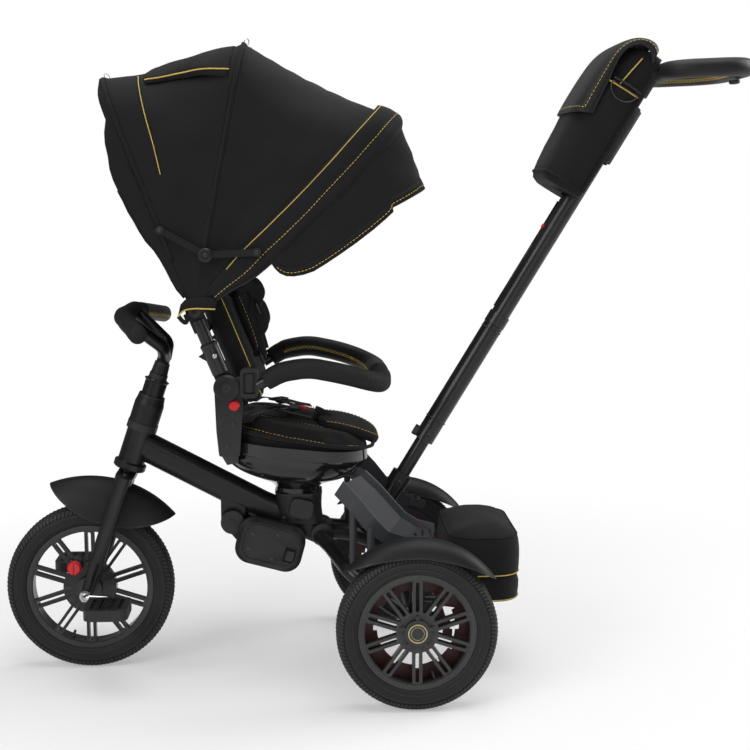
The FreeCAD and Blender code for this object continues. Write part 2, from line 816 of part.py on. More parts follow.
def foot_panel(side):
    """Moulded channel for the leg that ends in a tray for the foot."""
    wires = []
    for (xo, yo, zo), (xi, yi, zi) in zip(chute_out, chute_in):
        o, i = V(xo, yo, zo), V(xi, yi, zi)
        across = (i - o).normalize()
        down = V(-0.55, 0, -0.83) if xo < 20 else V(0, 0, -1)
        deep = 26.0 if xo < 0 else 20.0 if xo < 30 else 14.0
        wall = 4.0
        floor = 9.0 if xo < 30 else 10.0
        pts = [o, o + across * wall, o + across * (wall + 3) + down * floor,
               i - across * (wall + 3) + down * floor, i - across * wall, i,
               i + down * deep, o + down * deep]
        wires.append(polygon(pts))
    body = lofted(wires, True)
    posts = []
    for (px, py, pz), reach in panel_posts:
        post = rod(V(px, py, pz), V(px, py, pz + reach), 6.0)
        posts.append(post.cut([panel_clearance(wires), side_tube(-1, side_tube_r + seat_gap)]))
    body = group([body] + posts)
    return body if side < 0 else mirrored(body)


# ------------------------------------------------------------------ push bar
def push_lower_tube():
    """Fixed tube clamped in the socket."""
    return rod(push(push_low_s), push(low_tube_top_s), low_tube_r)


def push_sleeve():
    """Outer sleeve clamped on the lower tube; the upper tube slides in it."""
    bore = upper_r + running
    profile = [(sleeve_from_s, low_tube_r + seat_gap), (sleeve_from_s, sleeve_r),
               (sleeve_to_s - 22, sleeve_r), (sleeve_to_s - 21, sleeve_r + 1.0),
               (sleeve_to_s, sleeve_r + 1.0), (sleeve_to_s, bore),
               (sleeve_from_s + 26, bore), (sleeve_from_s + 26, low_tube_r + seat_gap)]
    return turned(PUSH_P, push_dir, profile)


side_dir = push_dir.cross(Y)
if side_dir.x > 0:
    side_dir = side_dir * -1.0


def sleeve_latch():
    """Catch on the front of the sleeve's lower end."""
    centre = push(sleeve_from_s + 8) + side_dir * (sleeve_r + seat_gap)
    wire = pill(centre, push_dir, Y, 9.0, 6.5, 4.0)
    body = prism(wire, side_dir * 5.0)
    curve = rod(push(sleeve_from_s - 10), push(sleeve_from_s + 30), sleeve_r + seat_gap)
    return prism(pill(centre - side_dir * 2, push_dir, Y, 9.0, 6.5, 4.0), side_dir * 8.0).cut(curve)


def push_upper_tube():
    """Sliding tube with two grooves for the catch."""
    tube = rod(push(upper_from_s), push(upper_to_s), upper_r)
    inner = rod(push(upper_from_s - 1), push(upper_to_s - 4), upper_r - upper_wall)
    hole = rod(push(button_s) + side_dir * 5, push(button_s) + side_dir * 30, button_r + running)
    return tube.cut(inner).cut(hole)


button_s = sleeve_to_s + push_travel + 14.0
button_r = 4.0


def push_lock_button():
    """Spring button that locks the height of the handle."""
    base = push(button_s) + side_dir * (upper_r - upper_wall - 5.4)
    return turned(base, side_dir, [(0, 0), (0, button_r + 2), (3.4, button_r + 2), (3.4, button_r),
                                   (upper_wall + 7.4, button_r), (upper_wall + 8.4, button_r - 1),
                                   (upper_wall + 8.4, 0)])


def handle_loop(r, from_x):
    z = handle_z
    points = [V(from_x, 0.0, z), V(from_x, -handle_y, z), V(handle_tip_x - handle_r, -handle_y, z + 6),
              V(handle_tip_x - handle_r, handle_y, z + 6), V(from_x, handle_y, z),
              V(from_x, 0.0, z)]
    half = points[:3] + [V(handle_tip_x - handle_r, 0, z + 6)]
    first = bent_tube(half, [38.0, 52.0], r)
    return joined([first, mirrored(first)])


def push_handle():
    """Closed rounded loop with its leather cover and the neck that joins the tube."""
    loop = handle_loop(handle_r, handle_front_x + handle_r)
    neck = turned(PUSH_P, push_dir, [(upper_to_s - 26, upper_r + seat_gap), (upper_to_s - 26, 19.5),
                                     (upper_to_s + 4, 19.5), (upper_to_s + 14, 16.0),
                                     (upper_to_s + 14, 0), (upper_to_s + seat_gap, 0),
                                     (upper_to_s + seat_gap, upper_r + seat_gap)])
    loop = loop.cut(rod(push(upper_to_s - 40), push(upper_to_s + seat_gap), upper_r + seat_gap))
    return joined([loop, neck])


# pouch, in the tube's frame: distance along the tube, distance in front of its axis
pouch_low_s = 524.0
pouch_rear_top_s = 784.0
pouch_front_top_s = 728.0
pouch_half_y = 86.0
pouch_near = 2.0
pouch_deep_low = 86.0
pouch_deep_high = 106.0
flap_low_s = 622.0
flap_t = 4.0
flap_rear_d = 26.0
flap_hinge = (764.0, 26.0)
flap_open = 60.0
pouch_wall = 4.0


def pouch_at(s, d, y=0.0):
    return push(s) + side_dir * d + V(0, y, 0)


def pouch_ring(s, inset=0.0):
    share = (s - pouch_low_s) / (pouch_front_top_s - pouch_low_s)
    deep = pouch_deep_low + (pouch_deep_high - pouch_deep_low) * share - inset
    near = pouch_near + inset
    return pill(pouch_at(s, (near + deep) / 2), side_dir, Y, (deep - near) / 2,
                pouch_half_y - inset, 16.0)


def above_pouch(lift, y):
    """Everything above the bag's sloping mouth."""
    pts = [pouch_at(pouch_rear_top_s + lift, -30, -y), pouch_at(pouch_front_top_s + lift, pouch_deep_high, -y),
           pouch_at(pouch_front_top_s + lift - 20, pouch_deep_high + 30, -y),
           pouch_at(pouch_rear_top_s + 120, pouch_deep_high + 30, -y),
           pouch_at(pouch_rear_top_s + 120, -30, -y)]
    return prism(polygon(pts), V(0, 2 * y, 0))


def pouch():
    """Soft bag with a channel for the tube and a mouth that slopes to the front."""
    top = pouch_rear_top_s + 20
    body = lofted([pouch_ring(pouch_low_s, 5.0), pouch_ring(pouch_low_s + 9), pouch_ring(top)], True)
    inner = lofted([pouch_ring(pouch_low_s + 6, pouch_wall + 16), pouch_ring(top + 9, pouch_wall + 16)],
                   True)
    channel = rod(push(pouch_low_s - 5), push(pouch_rear_top_s + 30), upper_r + seat_gap)
    neck = rod(push(upper_to_s - 30), push(upper_to_s + 60), handle_r + 8.0)
    return body.cut([inner, channel, neck, above_pouch(0.0, pouch_half_y + 5)])


def pouch_flap():
    """Stiff leather-like cover hinged at the top rear edge; it hangs over the front."""
    gap = clearance + 0.4
    slope = (pouch_front_top_s - pouch_rear_top_s) / (pouch_deep_high + 30)
    front = lambda s: (pouch_deep_low + gap + (pouch_deep_high - pouch_deep_low)
                       * (s - pouch_low_s) / (pouch_front_top_s - pouch_low_s))
    mouth = lambda d: pouch_rear_top_s + (d + 30) * slope + gap
    rear = flap_rear_d
    fold = front(pouch_front_top_s)
    outline = [(mouth(rear), rear), (mouth(rear) + flap_t + 3, rear + 2),
               (mouth(60) + flap_t + 6, 60), (mouth(fold) + flap_t + 2, fold - 4),
               (mouth(fold) - 4, fold + flap_t),
               (flap_low_s, front(flap_low_s) + flap_t), (flap_low_s, front(flap_low_s)),
               (mouth(fold), fold)]
    pts = [pouch_at(s, d, -pouch_half_y - 1) for s, d in outline]
    return Part.Face(polygon(pts)).extrude(V(0, 2 * pouch_half_y + 2, 0))


def pouch_strap():
    """Hook-and-loop bands that hold the bag to the tube."""
    straps = []
    for s in (pouch_low_s + 40, flap_low_s + 70):
        inner = upper_r + seat_gap
        band = turned(PUSH_P, push_dir, [(s - 14, inner), (s - 14, inner + 2.2),
                                         (s + 14, inner + 2.2), (s + 14, inner)])
        keep = prism(pill(push(s) - side_dir * 40, push_dir, Y, 20, 24, 3), side_dir * 41.5)
        tail = prism(pill(push(s) - side_dir * (inner + 1.8), push_dir, Y, 14, 3.0, 2.5),
                     side_dir * -14.0)
        straps.append(joined([band.common(keep), tail]))
    return group(straps)


# ------------------------------------------------------------------ storage
def bag_ring(z, grow, x0=None, x1=None):
    x0 = (bag_x0 if x0 is None else x0) - grow
    x1 = (bag_x1 if x1 is None else x1) + grow
    return pill(V((x0 + x1) / 2, 0, z), V(1, 0, 0), Y, (x1 - x0) / 2, bag_half_y + grow, 42.0)


def storage_basket():
    """Fabric bin under the lid, stiffened by its rim."""
    rim_z = lid_low_z + 34 - clearance
    body = lofted([bag_ring(basket_low_z, 0.0), bag_ring(basket_low_z + 14, -3.0),
                   bag_ring(lid_low_z + 6, -bin_lean), bag_ring(rim_z, -bin_rim_in)], True)
    inner = lofted([bag_ring(basket_low_z + 4, -10.0), bag_ring(basket_low_z + 12, -6.5),
                    bag_ring(lid_low_z + 6, -bin_lean - bin_wall),
                    bag_ring(rim_z + 2, -bin_rim_in - bin_wall)], True)
    return body.cut(inner)


def storage_lid():
    """Crowned padded lid with deep sides, hinged at its front edge."""
    top = lid_top_z
    shell = lofted([bag_ring(lid_low_z, 0.0), bag_ring(top - 8, -1.0), bag_ring(top + 2, -9.0),
                    bag_ring(top + lid_crown, -50.0)], True)
    inner = lofted([bag_ring(lid_low_z - 1, -4.0), bag_ring(lid_low_z + 34, -4.0)], True)
    return shell.cut(inner)


# ------------------------------------------------------------------ brake
brake_x = rear_axle_x + 52.0
brake_z = 112.0
brake_rod_r = 5.0


def brake_bracket():
    """Two ears on the axle bar that carry the brake rod."""
    ears = []
    for y in (-150.0, 150.0):
        ear = slab([(rear_axle_x, rear_wheel_r + 16), (rear_axle_x + 14, rear_wheel_r + 10),
                    (brake_x + 9, brake_z + 8), (brake_x + 9, brake_z - 9),
                    (rear_axle_x, rear_wheel_r - 16)], y - 3, y + 3)
        ear = ear.cut(rod(V(brake_x, y - 5, brake_z), V(brake_x, y + 5, brake_z),
                          brake_rod_r + running))
        bar = rod(V(rear_axle_x, y - 5, rear_wheel_r), V(rear_axle_x, y + 5, rear_wheel_r),
                  axle_bar_r + seat_gap)
        ears.append(ear.cut(bar))
    return group(ears)


def brake_pedal():
    """Red foot pedal on a cross rod with a pawl at each wheel."""
    bar = rod(V(brake_x, -204, brake_z), V(brake_x, 204, brake_z), brake_rod_r)
    tread = slab([(brake_x - 6, brake_z + 6), (brake_x + 4, brake_z + 8), (brake_x + 46, brake_z - 8),
                  (brake_x + 44, brake_z - 14), (brake_x - 2, brake_z - 7)], -34, 34)
    tread = softened(tread, 2.0, lambda e: abs(e.tangentAt(e.FirstParameter).y) > 0.9)
    pawls = []
    for side in (-1, 1):
        y0 = side * 204.0
        y1 = side * (half_track - ring_y1 + 2.0)
        lever = slab([(brake_x - 8, brake_z + 5), (brake_x + 7, brake_z + 5),
                      (brake_x + 7, brake_z - 7), (brake_x - 8, brake_z - 7)],
                     min(y0 - side * 6, y0), max(y0 - side * 6, y0))
        pawls.append(lever)
    return joined([bar, tread] + pawls)


# ------------------------------------------------------------------ folded child footrest
foot_pivot = V(-238.0, 0, 254.0)
foot_angle = math.radians(-15.0)
foot_u = V(math.cos(foot_angle), 0, math.sin(foot_angle))
foot_v = V(-foot_u.z, 0, foot_u.x)
foot_centre = V(-174.0, 0, 220.0)
pad_half_u = 57.0
pad_half_v = 40.0
pad_y0 = 37.5
pad_y1 = 58.0
hinge_y = 32.0
hinge_v = -34.0
hinge_pin_r = 3.0
cheek_y0 = 20.3
cheek_y1 = 32.0
cheek_r = 20.0
cheek_bar_t = 6.2
foot_pin_r = 6.0


def footrest_bracket():
    """Block under the down tube with the pivot pin of the footrest."""
    body = slab([(-258, 300), (-258, 250), (-250, 236), (-228, 236), (-218, 248), (-216, 300)], -18, 18)
    body = body.cut(main_tube(seat_gap))
    pick = [b for b in body.Solids if b.CenterOfMass.z < foot_pivot.z + 30]
    pin = rod(foot_pivot - Y * (cheek_y1 + 1), foot_pivot + Y * (cheek_y1 + 1), foot_pin_r)
    return joined([pick[0], pin])


def foot_spot(u, v, y=0.0):
    return foot_centre + foot_u * u + foot_v * v + V(0, y, 0)


def footrest_arm():
    """Two cheeks on the pivot, the bar between the pads and their hinge pins."""
    parts = []
    inner, outer = foot_spot(-26, -14), foot_spot(46, -18)
    for side in (-1, 1):
        y0, y1 = sorted((side * cheek_y0, side * cheek_y1))
        disc = rod(foot_pivot + Y * y0, foot_pivot + Y * y1, cheek_r)
        a, b = sorted((side * cheek_y0, side * (cheek_y0 + cheek_bar_t)))
        bar = slab([(foot_pivot.x + 2, foot_pivot.z + 4), (foot_pivot.x - 8, foot_pivot.z - 14),
                    (inner.x - 10, inner.z - 14), (inner.x + 14, inner.z - 8),
                    (inner.x + 14, inner.z + 8)], a, b)
        lug = prism(pill(foot_spot(0, -26, a), foot_u, foot_v, 34, 12, 5), Y * (b - a))
        pins = rod(foot_spot(-33, hinge_v, side * hinge_y), foot_spot(33, hinge_v, side * hinge_y),
                   hinge_pin_r)
        parts += [disc, bar, lug, pins]
        for u in (-33, 27):
            ear = rod(foot_spot(u, hinge_v, side * hinge_y), foot_spot(u + 6, hinge_v, side * hinge_y),
                      5.0)
            web0, web1 = sorted((side * (cheek_y0 + 3), side * hinge_y))
            web = box(0, 6, web0, web1, -5, 5)
            web.rotate(V(0, 0, 0), Y, 15)
            web.translate(foot_spot(u, hinge_v))
            parts += [ear, web]
    block = prism(pill(foot_spot(10, -18, -cheek_y0 - 1), foot_u, foot_v, 30, 12, 8),
                  Y * (2 * cheek_y0 + 2))
    whole = joined(parts + [block])
    return whole.cut(rod(foot_pivot - Y * 40, foot_pivot + Y * 40, foot_pin_r + running))


def footrest_pad(side):
    """Rounded foot plate, folded up against the bar."""
    wire = pill(foot_spot(0, 0, side * pad_y0), foot_u, foot_v, pad_half_u, pad_half_v, 27.0)
    outer = pill(foot_spot(0, 0, side * (pad_y1 - 6)), foot_u, foot_v, pad_half_u, pad_half_v, 27.0)
    face = pill(foot_spot(0, 0, side * pad_y1), foot_u, foot_v, pad_half_u - 7, pad_half_v - 7, 21.0)
    plate = joined([lofted([wire, outer], True), lofted([outer, face], True)])
    slot = prism(pill(foot_spot(36, -8, side * (pad_y1 - 5)), foot_u, foot_v, 10, 13, 3), Y * side * 8)
    clip = prism(pill(foot_spot(36, -10, side * (pad_y1 - 6)), foot_u, foot_v, 7, 9, 2), Y * side * 5.5)
    a = foot_spot(-26.5, hinge_v, side * hinge_y)
    b = foot_spot(26.5, hinge_v, side * hinge_y)
    knuckle = rod(a, b, 5.0)
    web = prism(pill(foot_spot(0, hinge_v + 1, side * hinge_y), foot_u, foot_v, 26.4, 3.5, 1.0),
                Y * side * (pad_y0 - hinge_y + 1))
    whole = joined([plate.cut(slot), clip, knuckle, web])
    pin = rod(foot_spot(-40, hinge_v, side * hinge_y), foot_spot(40, hinge_v, side * hinge_y),
              hinge_pin_r + running)
    return whole.cut(pin)


# ------------------------------------------------------------------ seat
def tub_ring(x, z, half_x, half_y, tilt, corner, grow=0.0):
    a = math.radians(-tilt)
    u = V(math.cos(a), 0, math.sin(a))
    return pill(V(x, 0, z), u, Y, half_x + grow, half_y + grow, corner)


def seat_tub():
    """Swivelling bowl with a rim band, the turntable under it and two rear horns."""
    x, hx, hy, z = tub_x, tub_half_x, tub_half_y, tub_rim_z
    low = lofted([tub_ring(x + 3, z - 83, hx * 0.31, hy * 0.31, 0, 36),
                  tub_ring(x + 4, z - 66, hx * 0.52, hy * 0.58, 2, 60),
                  tub_ring(x - 5, z - 40, hx * 0.88, hy * 0.90, 5, 84),
                  tub_ring(x, z - 17, hx * 0.98, hy * 0.98, 5.5, 90)])
    band = lofted([tub_ring(x, z - 17, hx * 0.98, hy * 0.98, 5.5, 90),
                   tub_ring(x, z - 14, hx, hy, 5.5, 90),
                   tub_ring(x, z + 4, hx, hy, 5.9, 90)], True)
    w = tub_wall
    hollow = lofted([tub_ring(x + 2, z - 56, hx * 0.55, hy * 0.60, 3, 56, -w),
                     tub_ring(x - 3, z - 32, hx * 0.92, hy * 0.92, 5, 84, -w),
                     tub_ring(x, z - 13, hx * 0.98, hy * 0.98, 5.5, 90, -w),
                     tub_ring(x, z + 6, hx * 0.98, hy * 0.98, 5.9, 90, -w)], True)
    parts = [low, band]
    for side in (-1, 1):
        y0, y1 = sorted((side * 110.0, side * (bracket_y - 6.0 - seat_gap)))
        parts.append(slab([(-252, 424), (-254, 396), (-240, 372), (-222, 376), (-220, 424)], y0, y1))
    turn = rod(V(seat_axis_x, 0, post_top_z + clearance), V(seat_axis_x, 0, z - 78), 37.0)
    spigot = rod(V(seat_axis_x, 0, post_top_z - 13), V(seat_axis_x, 0, z - 80), spigot_r)
    return joined(parts + [turn, spigot]).cut(hollow)


pad_crown_x = 7.0
pad_crown_z = 32.0


def seat_cushion():
    """Padded liner of the seat: a plug in the bowl and the crowned pad over the rim."""
    x, hx, hy, z = tub_x, tub_half_x, tub_half_y, tub_rim_z
    g = tub_wall + clearance + 0.6
    plug = lofted([tub_ring(x + 1, z - 30, hx * 0.80, hy * 0.84, 5, 80, -g),
                   tub_ring(x, z - 12, hx * 0.975, hy * 0.975, 5.5, 88, -g),
                   tub_ring(x, z + 5, hx * 0.975, hy * 0.975, 5.9, 88, -g)], True)
    pad = lofted([tub_ring(x + 3, z + 4.6, hx - 3, hy - 3, 5.9, 88),
                  tub_ring(x + 11, z + 13, hx + 5, hy + 2, 9, 90),
                  tub_ring(x + 7, z + 25, hx - 9, hy - 12, 11, 80),
                  tub_ring(x + pad_crown_x, z + pad_crown_z, hx - 32, hy - 38, buckle_tilt, 60)],
                 True)
    whole = joined([plug, pad])
    horns = []
    for side in (-1, 1):
        y0, y1 = sorted((side * 108.0, side * 150.0))
        horns.append(box(-270, -218.5, y0, y1, 360, 440))
    return whole.cut(horns)


back_up = V(-math.sin(math.radians(back_lean)), 0, math.cos(math.radians(back_lean)))
back_front = V(back_up.z, 0, -back_up.x)
BOSS = V(boss_x, 0, boss_z)
boss_pin_r = 6.0


def back_at(b, f=0.0, y=0.0):
    """Point b up the backrest from the recline axis and f in front of its tubes."""
    return BOSS + back_up * b + back_front * f + V(0, y, 0)


button_spot = V(-226.5, 0, 472.0)
recline_button_r = 8.5


def seat_bracket(side):
    """Plate bolted to the seat's horn; it carries the recline pin and the release button."""
    outline = [(-252, 388), (-256, 430), (-258.5, 502), (-252, 517), (-237.5, 523), (-223, 517),
               (-216.5, 502), (-213, 470), (-216, 430), (-219, 388)]
    y0, y1 = sorted((side * (bracket_y - 6), side * (bracket_y + 4.5)))
    plate = slab(outline, y0, y1)
    plate = softened(plate, 4.0, lambda e: abs(e.tangentAt(e.FirstParameter).y) > 0.9
                     and e.Vertexes[0].Z < 500)
    p = V(button_spot.x, 0, button_spot.z)
    plate = plate.cut(rod(p + Y * side * 100, p + Y * side * 170, recline_button_r + running))
    pin = rod(BOSS + Y * side * (bracket_y + 3), BOSS + Y * side * (boss_y + 12), boss_pin_r)
    return joined([plate, pin])


def boss_cap(side):
    """Round cap over the recline joint."""
    base = BOSS + Y * side * (boss_y + 8.4)
    cap = turned(base, Y * side, [(0, 0), (0, boss_r), (4.5, boss_r), (7.0, boss_r - 3), (7.8, 0)])
    return cap.cut(rod(BOSS, BOSS + Y * side * (boss_y + 12), boss_pin_r + seat_gap))


def recline_button(side):
    a = button_spot + Y * side * (bracket_y - 3)
    return turned(a, Y * side, [(0, 0), (0, recline_button_r), (15, recline_button_r),
                                (17, recline_button_r - 2), (17, 0)])


back_tube_front = back_tube_r + clearance
back_bar_b = 96.0
back_bar_r = 8.0
socket_b0 = 25.0
socket_b1 = 70.0
pivot_b = (V(canopy_x, 0, canopy_z) - BOSS).dot(back_up)


def back_frame():
    """Two back tubes joined by a cross bar behind the liner."""
    tubes = []
    for side in (-1, 1):
        y = side * boss_y
        tubes.append(rod(back_at(socket_b0 + 8, 0, y), back_at(pivot_b - 16, 0, y), back_tube_r))
    y, f = boss_y - 4, back_tube_front - clearance - back_bar_r
    bar = rod(back_at(back_bar_b, f, -y), back_at(back_bar_b, f, y), back_bar_r)
    return joined(tubes + [bar])


def back_bracket(side):
    """Recline arm: eye on the boss pin and the socket of the back tube."""
    y0, y1 = sorted((side * (bracket_y + 4.8), side * (boss_y - 0.2)))
    eye = rod(BOSS + Y * y0, BOSS + Y * y1, 20.0)
    web = prism(polygon([back_at(2, -13, y0), back_at(2, 13, y0), back_at(40, 12.5, y0),
                         back_at(40, -12.5, y0)]), Y * (y1 - y0))
    y = side * boss_y
    socket = rod(back_at(socket_b0, 0, y), back_at(socket_b1, 0, y), 13.6)
    bore = rod(back_at(socket_b0 + 8, 0, y), back_at(socket_b1 + 1, 0, y), back_tube_r + seat_gap)
    fin = prism(polygon([back_at(50, -13, side * (boss_y - 3)), back_at(62, -22, side * (boss_y - 3)),
                         back_at(64, -13, side * (boss_y - 3))]), Y * side * 6)
    whole = joined([eye, web, socket, fin])
    return whole.cut(bore).cut(rod(BOSS + Y * side * 100, BOSS + Y * side * 170, boss_pin_r + running))


def back_section(b, half_y, f0, f1, corner):
    return pill(back_at(b, (f0 + f1) / 2), back_front, Y, (f1 - f0) / 2, half_y, corner)




def back_cushion():
    """Padded back liner hung on the tubes, with a rounded head end."""
    f0 = back_tube_front
    return lofted([back_section(-48, 104, f0 + 4, f0 + 30, 10),
                   back_section(-40, 114, f0, f0 + 40, 16),
                   back_section(60, 122, f0, f0 + 42, 18),
                   back_section(170, 112, f0, f0 + 40, 16),
                   back_section(196, 92, f0 + 5, f0 + 30, 10)], True)


def shoulder_pads():
    pads = []
    for y in (-46.0, 46.0):
        f0 = back_tube_front + 42.3
        wire = pill(back_at(78, f0, y), back_up, Y, 52.0, 18.0, 12.0)
        pads.append(prism(wire, back_front * 11.0))
    return group(pads)


buckle_x = -120.0
buckle_tilt = 11.0
buckle_up = V(math.sin(math.radians(buckle_tilt)), 0, math.cos(math.radians(buckle_tilt)))
buckle_along = V(buckle_up.z, 0, -buckle_up.x)
buckle_base = V(buckle_x, 0, tub_rim_z + pad_crown_z - math.tan(math.radians(buckle_tilt)) * (
    buckle_x - tub_x - pad_crown_x)) + buckle_up * clearance
buckle_h = 17.0
buckle_button_r = 9.0


def harness_buckle():
    """Buckle body lying on the sloping top of the seat pad."""
    body = prism(pill(buckle_base, buckle_along, Y, 24, 21, 9), buckle_up * buckle_h)
    hole = rod(buckle_base + buckle_up * (buckle_h - 7), buckle_base + buckle_up * 40,
               buckle_button_r + running)
    return body.cut(hole)


def buckle_button():
    base = buckle_base + buckle_up * (buckle_h - 4)
    return turned(base, buckle_up, [(0, 0), (0, buckle_button_r), (6, buckle_button_r),
                                    (7.5, buckle_button_r - 2), (7.5, 0)])


# ------------------------------------------------------------------ armrest
ring_spot = V(-202.0, 0, 509.5)


def ring_block(side, grow):
    """Outside of the square release ring."""
    base = ring_spot + Y * side * (boss_y - 5 - grow)
    return prism(pill(base, V(1, 0, 0), Z, 14.0 + grow, 24.0 + grow, 8.0), Y * side * (19.0 + 2 * grow))


def armrest_core():
    """Steel core of the bar with a hinge eye and a release ring at each end."""
    right = [V(*p) for p in arm_line]
    left = [V(p.x, -p.y, p.z) for p in right]
    line = left[:-1] + right[::-1]
    core = bent_tube(line, [60.0, 100.0, 140.0, 70.0, 200.0, 70.0, 140.0, 100.0, 60.0], arm_core_r)
    parts = [core]
    for side in (-1, 1):
        y0, y1 = sorted((side * (boss_y + 0.2), side * (boss_y + 8.1)))
        eye = rod(BOSS + Y * y0, BOSS + Y * y1, 19.0)
        arm = slab([(BOSS.x, BOSS.z + 14), (ring_spot.x, ring_spot.z + 14),
                    (ring_spot.x, ring_spot.z - 14), (BOSS.x, BOSS.z - 14)], y0, y1)
        base = ring_spot + Y * side * (boss_y - 5)
        frame = ring_block(side, 0.0)
        recess = prism(pill(base + Y * side * 13, V(1, 0, 0), Z, 9.5, 17.0, 3.0), Y * side * 7.0)
        post = prism(pill(base + Y * side * 12, V(1, 0, 0), Z, 5.5, 15.0, 3.0), Y * side * 5.5)
        parts += [eye, arm, frame.cut(recess), post]
    whole = joined(parts)
    return whole.cut(rod(BOSS - Y * 170, BOSS + Y * 170, boss_pin_r + running))


def armrest_foam():
    """Padded sleeve over the bar."""
    right = [V(*p) for p in arm_line]
    right[0] = right[0] + (right[1] - right[0]).normalize() * 7.0
    left = [V(p.x, -p.y, p.z) for p in right]
    line = left[:-1] + right[::-1]
    bends = [60.0, 100.0, 140.0, 70.0, 200.0, 70.0, 140.0, 100.0, 60.0]
    sleeve = bent_tube(line, bends, arm_foam_r)
    rings = [ring_block(side, clearance) for side in (-1, 1)]
    return sleeve.cut([bent_tube(line, bends, arm_core_r + seat_gap)] + rings)


# ------------------------------------------------------------------ canopy
eye_r = 10.0
eye_t = 4.0
eye_pitch = 4.4
first_eye_y = boss_y + 4.5
canopy_pin_r = 4.0
flat_reach = 112.0
cloth_y = bow_y + bow_r + 0.3
link_hole_r = 136.0


def canopy_sockets():
    """Hinge housings on the back tubes with the pivot pins of the bows."""
    parts = []
    p = V(canopy_x, 0, canopy_z)
    for side in (-1, 1):
        y = side * boss_y
        y0, y1 = sorted((side * (boss_y - 9), side * (first_eye_y - clearance)))
        housing = rod(p + Y * y0, p + Y * y1, 15.0)
        sleeve = rod(back_at(pivot_b - 34, 0, y), back_at(pivot_b - 8, 0, y), 13.4)
        bore = rod(back_at(pivot_b - 40, 0, y), back_at(pivot_b - 16, 0, y), back_tube_r + seat_gap)
        inner, outer = sorted((side * (boss_y - 40), side * (first_eye_y - clearance)))
        neck = sleeve.common(box(-400, -200, inner, outer, 500, canopy_z + 10))
        pin_end = side * (first_eye_y + 3 * eye_pitch + 1.0)
        pin = rod(p + Y * y, V(p.x, pin_end, p.z), canopy_pin_r)
        parts.append(joined([housing, neck, pin]).cut(bore))
    return group(parts)


def eye_y(layer):
    return first_eye_y + eye_pitch * layer


def bow(angle, top, layer):
    """Hoop of the canopy: two flat hinged arms and the round bow they carry."""
    parts = []
    p = V(canopy_x, 0, canopy_z)
    a = math.radians(angle)
    out = V(math.cos(a), 0, math.sin(a))
    across = V(-out.z, 0, out.x)
    y = eye_y(layer)
    corner = bow_corner
    for side in (-1, 1):
        y0, y1 = sorted((side * y, side * (y + eye_t)))
        eye = rod(p + Y * y0, p + Y * y1, eye_r)
        wire = polygon([V(p.x, y0, p.z) + across * 5, V(p.x, y0, p.z) - across * 5,
                        V(p.x, y0, p.z) + out * flat_reach - across * 4,
                        V(p.x, y0, p.z) + out * flat_reach + across * 4])
        parts += [eye, prism(wire, Y * (y1 - y0))]
    y_mid = y + eye_t / 2
    low = [V(p.x, -y_mid, p.z) + out * (flat_reach - 6), V(p.x, -y_mid, p.z) + out * (flat_reach + 6),
           V(p.x, -bow_y, p.z) + out * (flat_reach + 24)]
    line = low + [V(p.x, -bow_y, p.z) + out * top, V(p.x, bow_y, p.z) + out * top]
    line += [V(q.x, -q.y, q.z) for q in reversed(low)]
    parts.append(bent_tube(line, [8.0, 8.0, corner, corner, 8.0, 8.0], bow_r))
    hole = polar(angle, link_hole_r)
    whole = joined(parts).cut(rod(hole - Y * 200, hole + Y * 200, link_pin_r + running))
    return whole.cut(rod(p - Y * 200, p + Y * 200, canopy_pin_r + running))


def hoop_wire(angle, top, low):
    """Closed U-shaped outline of the cloth at one angle about the pivot."""
    p = V(canopy_x, 0, canopy_z)
    a = math.radians(angle)
    out = V(math.cos(a), 0, math.sin(a))

    def half(offset):
        y, r, c = cloth_y + offset, top + offset, bow_corner + offset
        k = c * (1 - math.sqrt(0.5))
        at = lambda rr, yy: p + out * rr + V(0, yy, 0)
        return [at(low, -y), at(r - c, -y), at(r - k, -y + k), at(r, -y + c), at(r, y - c),
                at(r - k, y - k), at(r - c, y), at(low, y)]

    o, i = half(cloth_t), half(0.0)
    line = lambda m, n: Part.LineSegment(m, n).toShape()
    arc = lambda m, n, q: Part.Arc(m, n, q).toShape()
    return Part.Wire([line(o[0], o[1]), arc(o[1], o[2], o[3]), line(o[3], o[4]),
                      arc(o[4], o[5], o[6]), line(o[6], o[7]), line(o[7], i[7]),
                      line(i[7], i[6]), arc(i[6], i[5], i[4]), line(i[4], i[3]),
                      arc(i[3], i[2], i[1]), line(i[1], i[0]), line(i[0], o[0])])


def hoops(spots):
    """Thin cloth panel lofted through (angle, top radius, low radius)."""
    panel = lofted([hoop_wire(*spot) for spot in spots], True)
    for angle in (rear_bow[0], front_bow[0]):
        pin = polar(angle, link_hole_r)
        panel = panel.cut(rod(pin - Y * 200, pin + Y * 200, link_pin_r + 0.8))
    return panel


link_pin_r = 2.0


over_bow = bow_r + 0.3
cloth_low = 26.0
panel_gap = 0.25           # degrees between neighbouring panels


def roof_panel(first, second):
    (a0, r0), (a1, r1) = first, second
    a0, a1 = a0 - panel_gap, a1 + panel_gap
    mid = [(a0 + (a1 - a0) * k, r0 + (r1 - r0) * k - roof_sag * math.sin(math.pi * k) + over_bow,
            cloth_low) for k in (0.0, 0.25, 0.5, 0.75, 1.0)]
    return hoops(mid)


def canopy_rear_panel():
    return roof_panel(rear_bow, middle_bow)


def canopy_front_panel():
    return roof_panel(middle_bow, front_bow)


curtain_line = [(0.0, 0.0, 0.0), (0.9, -0.8, 0.0), (4.6, -36.0, 0.0), (8.0, -66.0, 0.0), (10.0, -98.0, 0.0)]


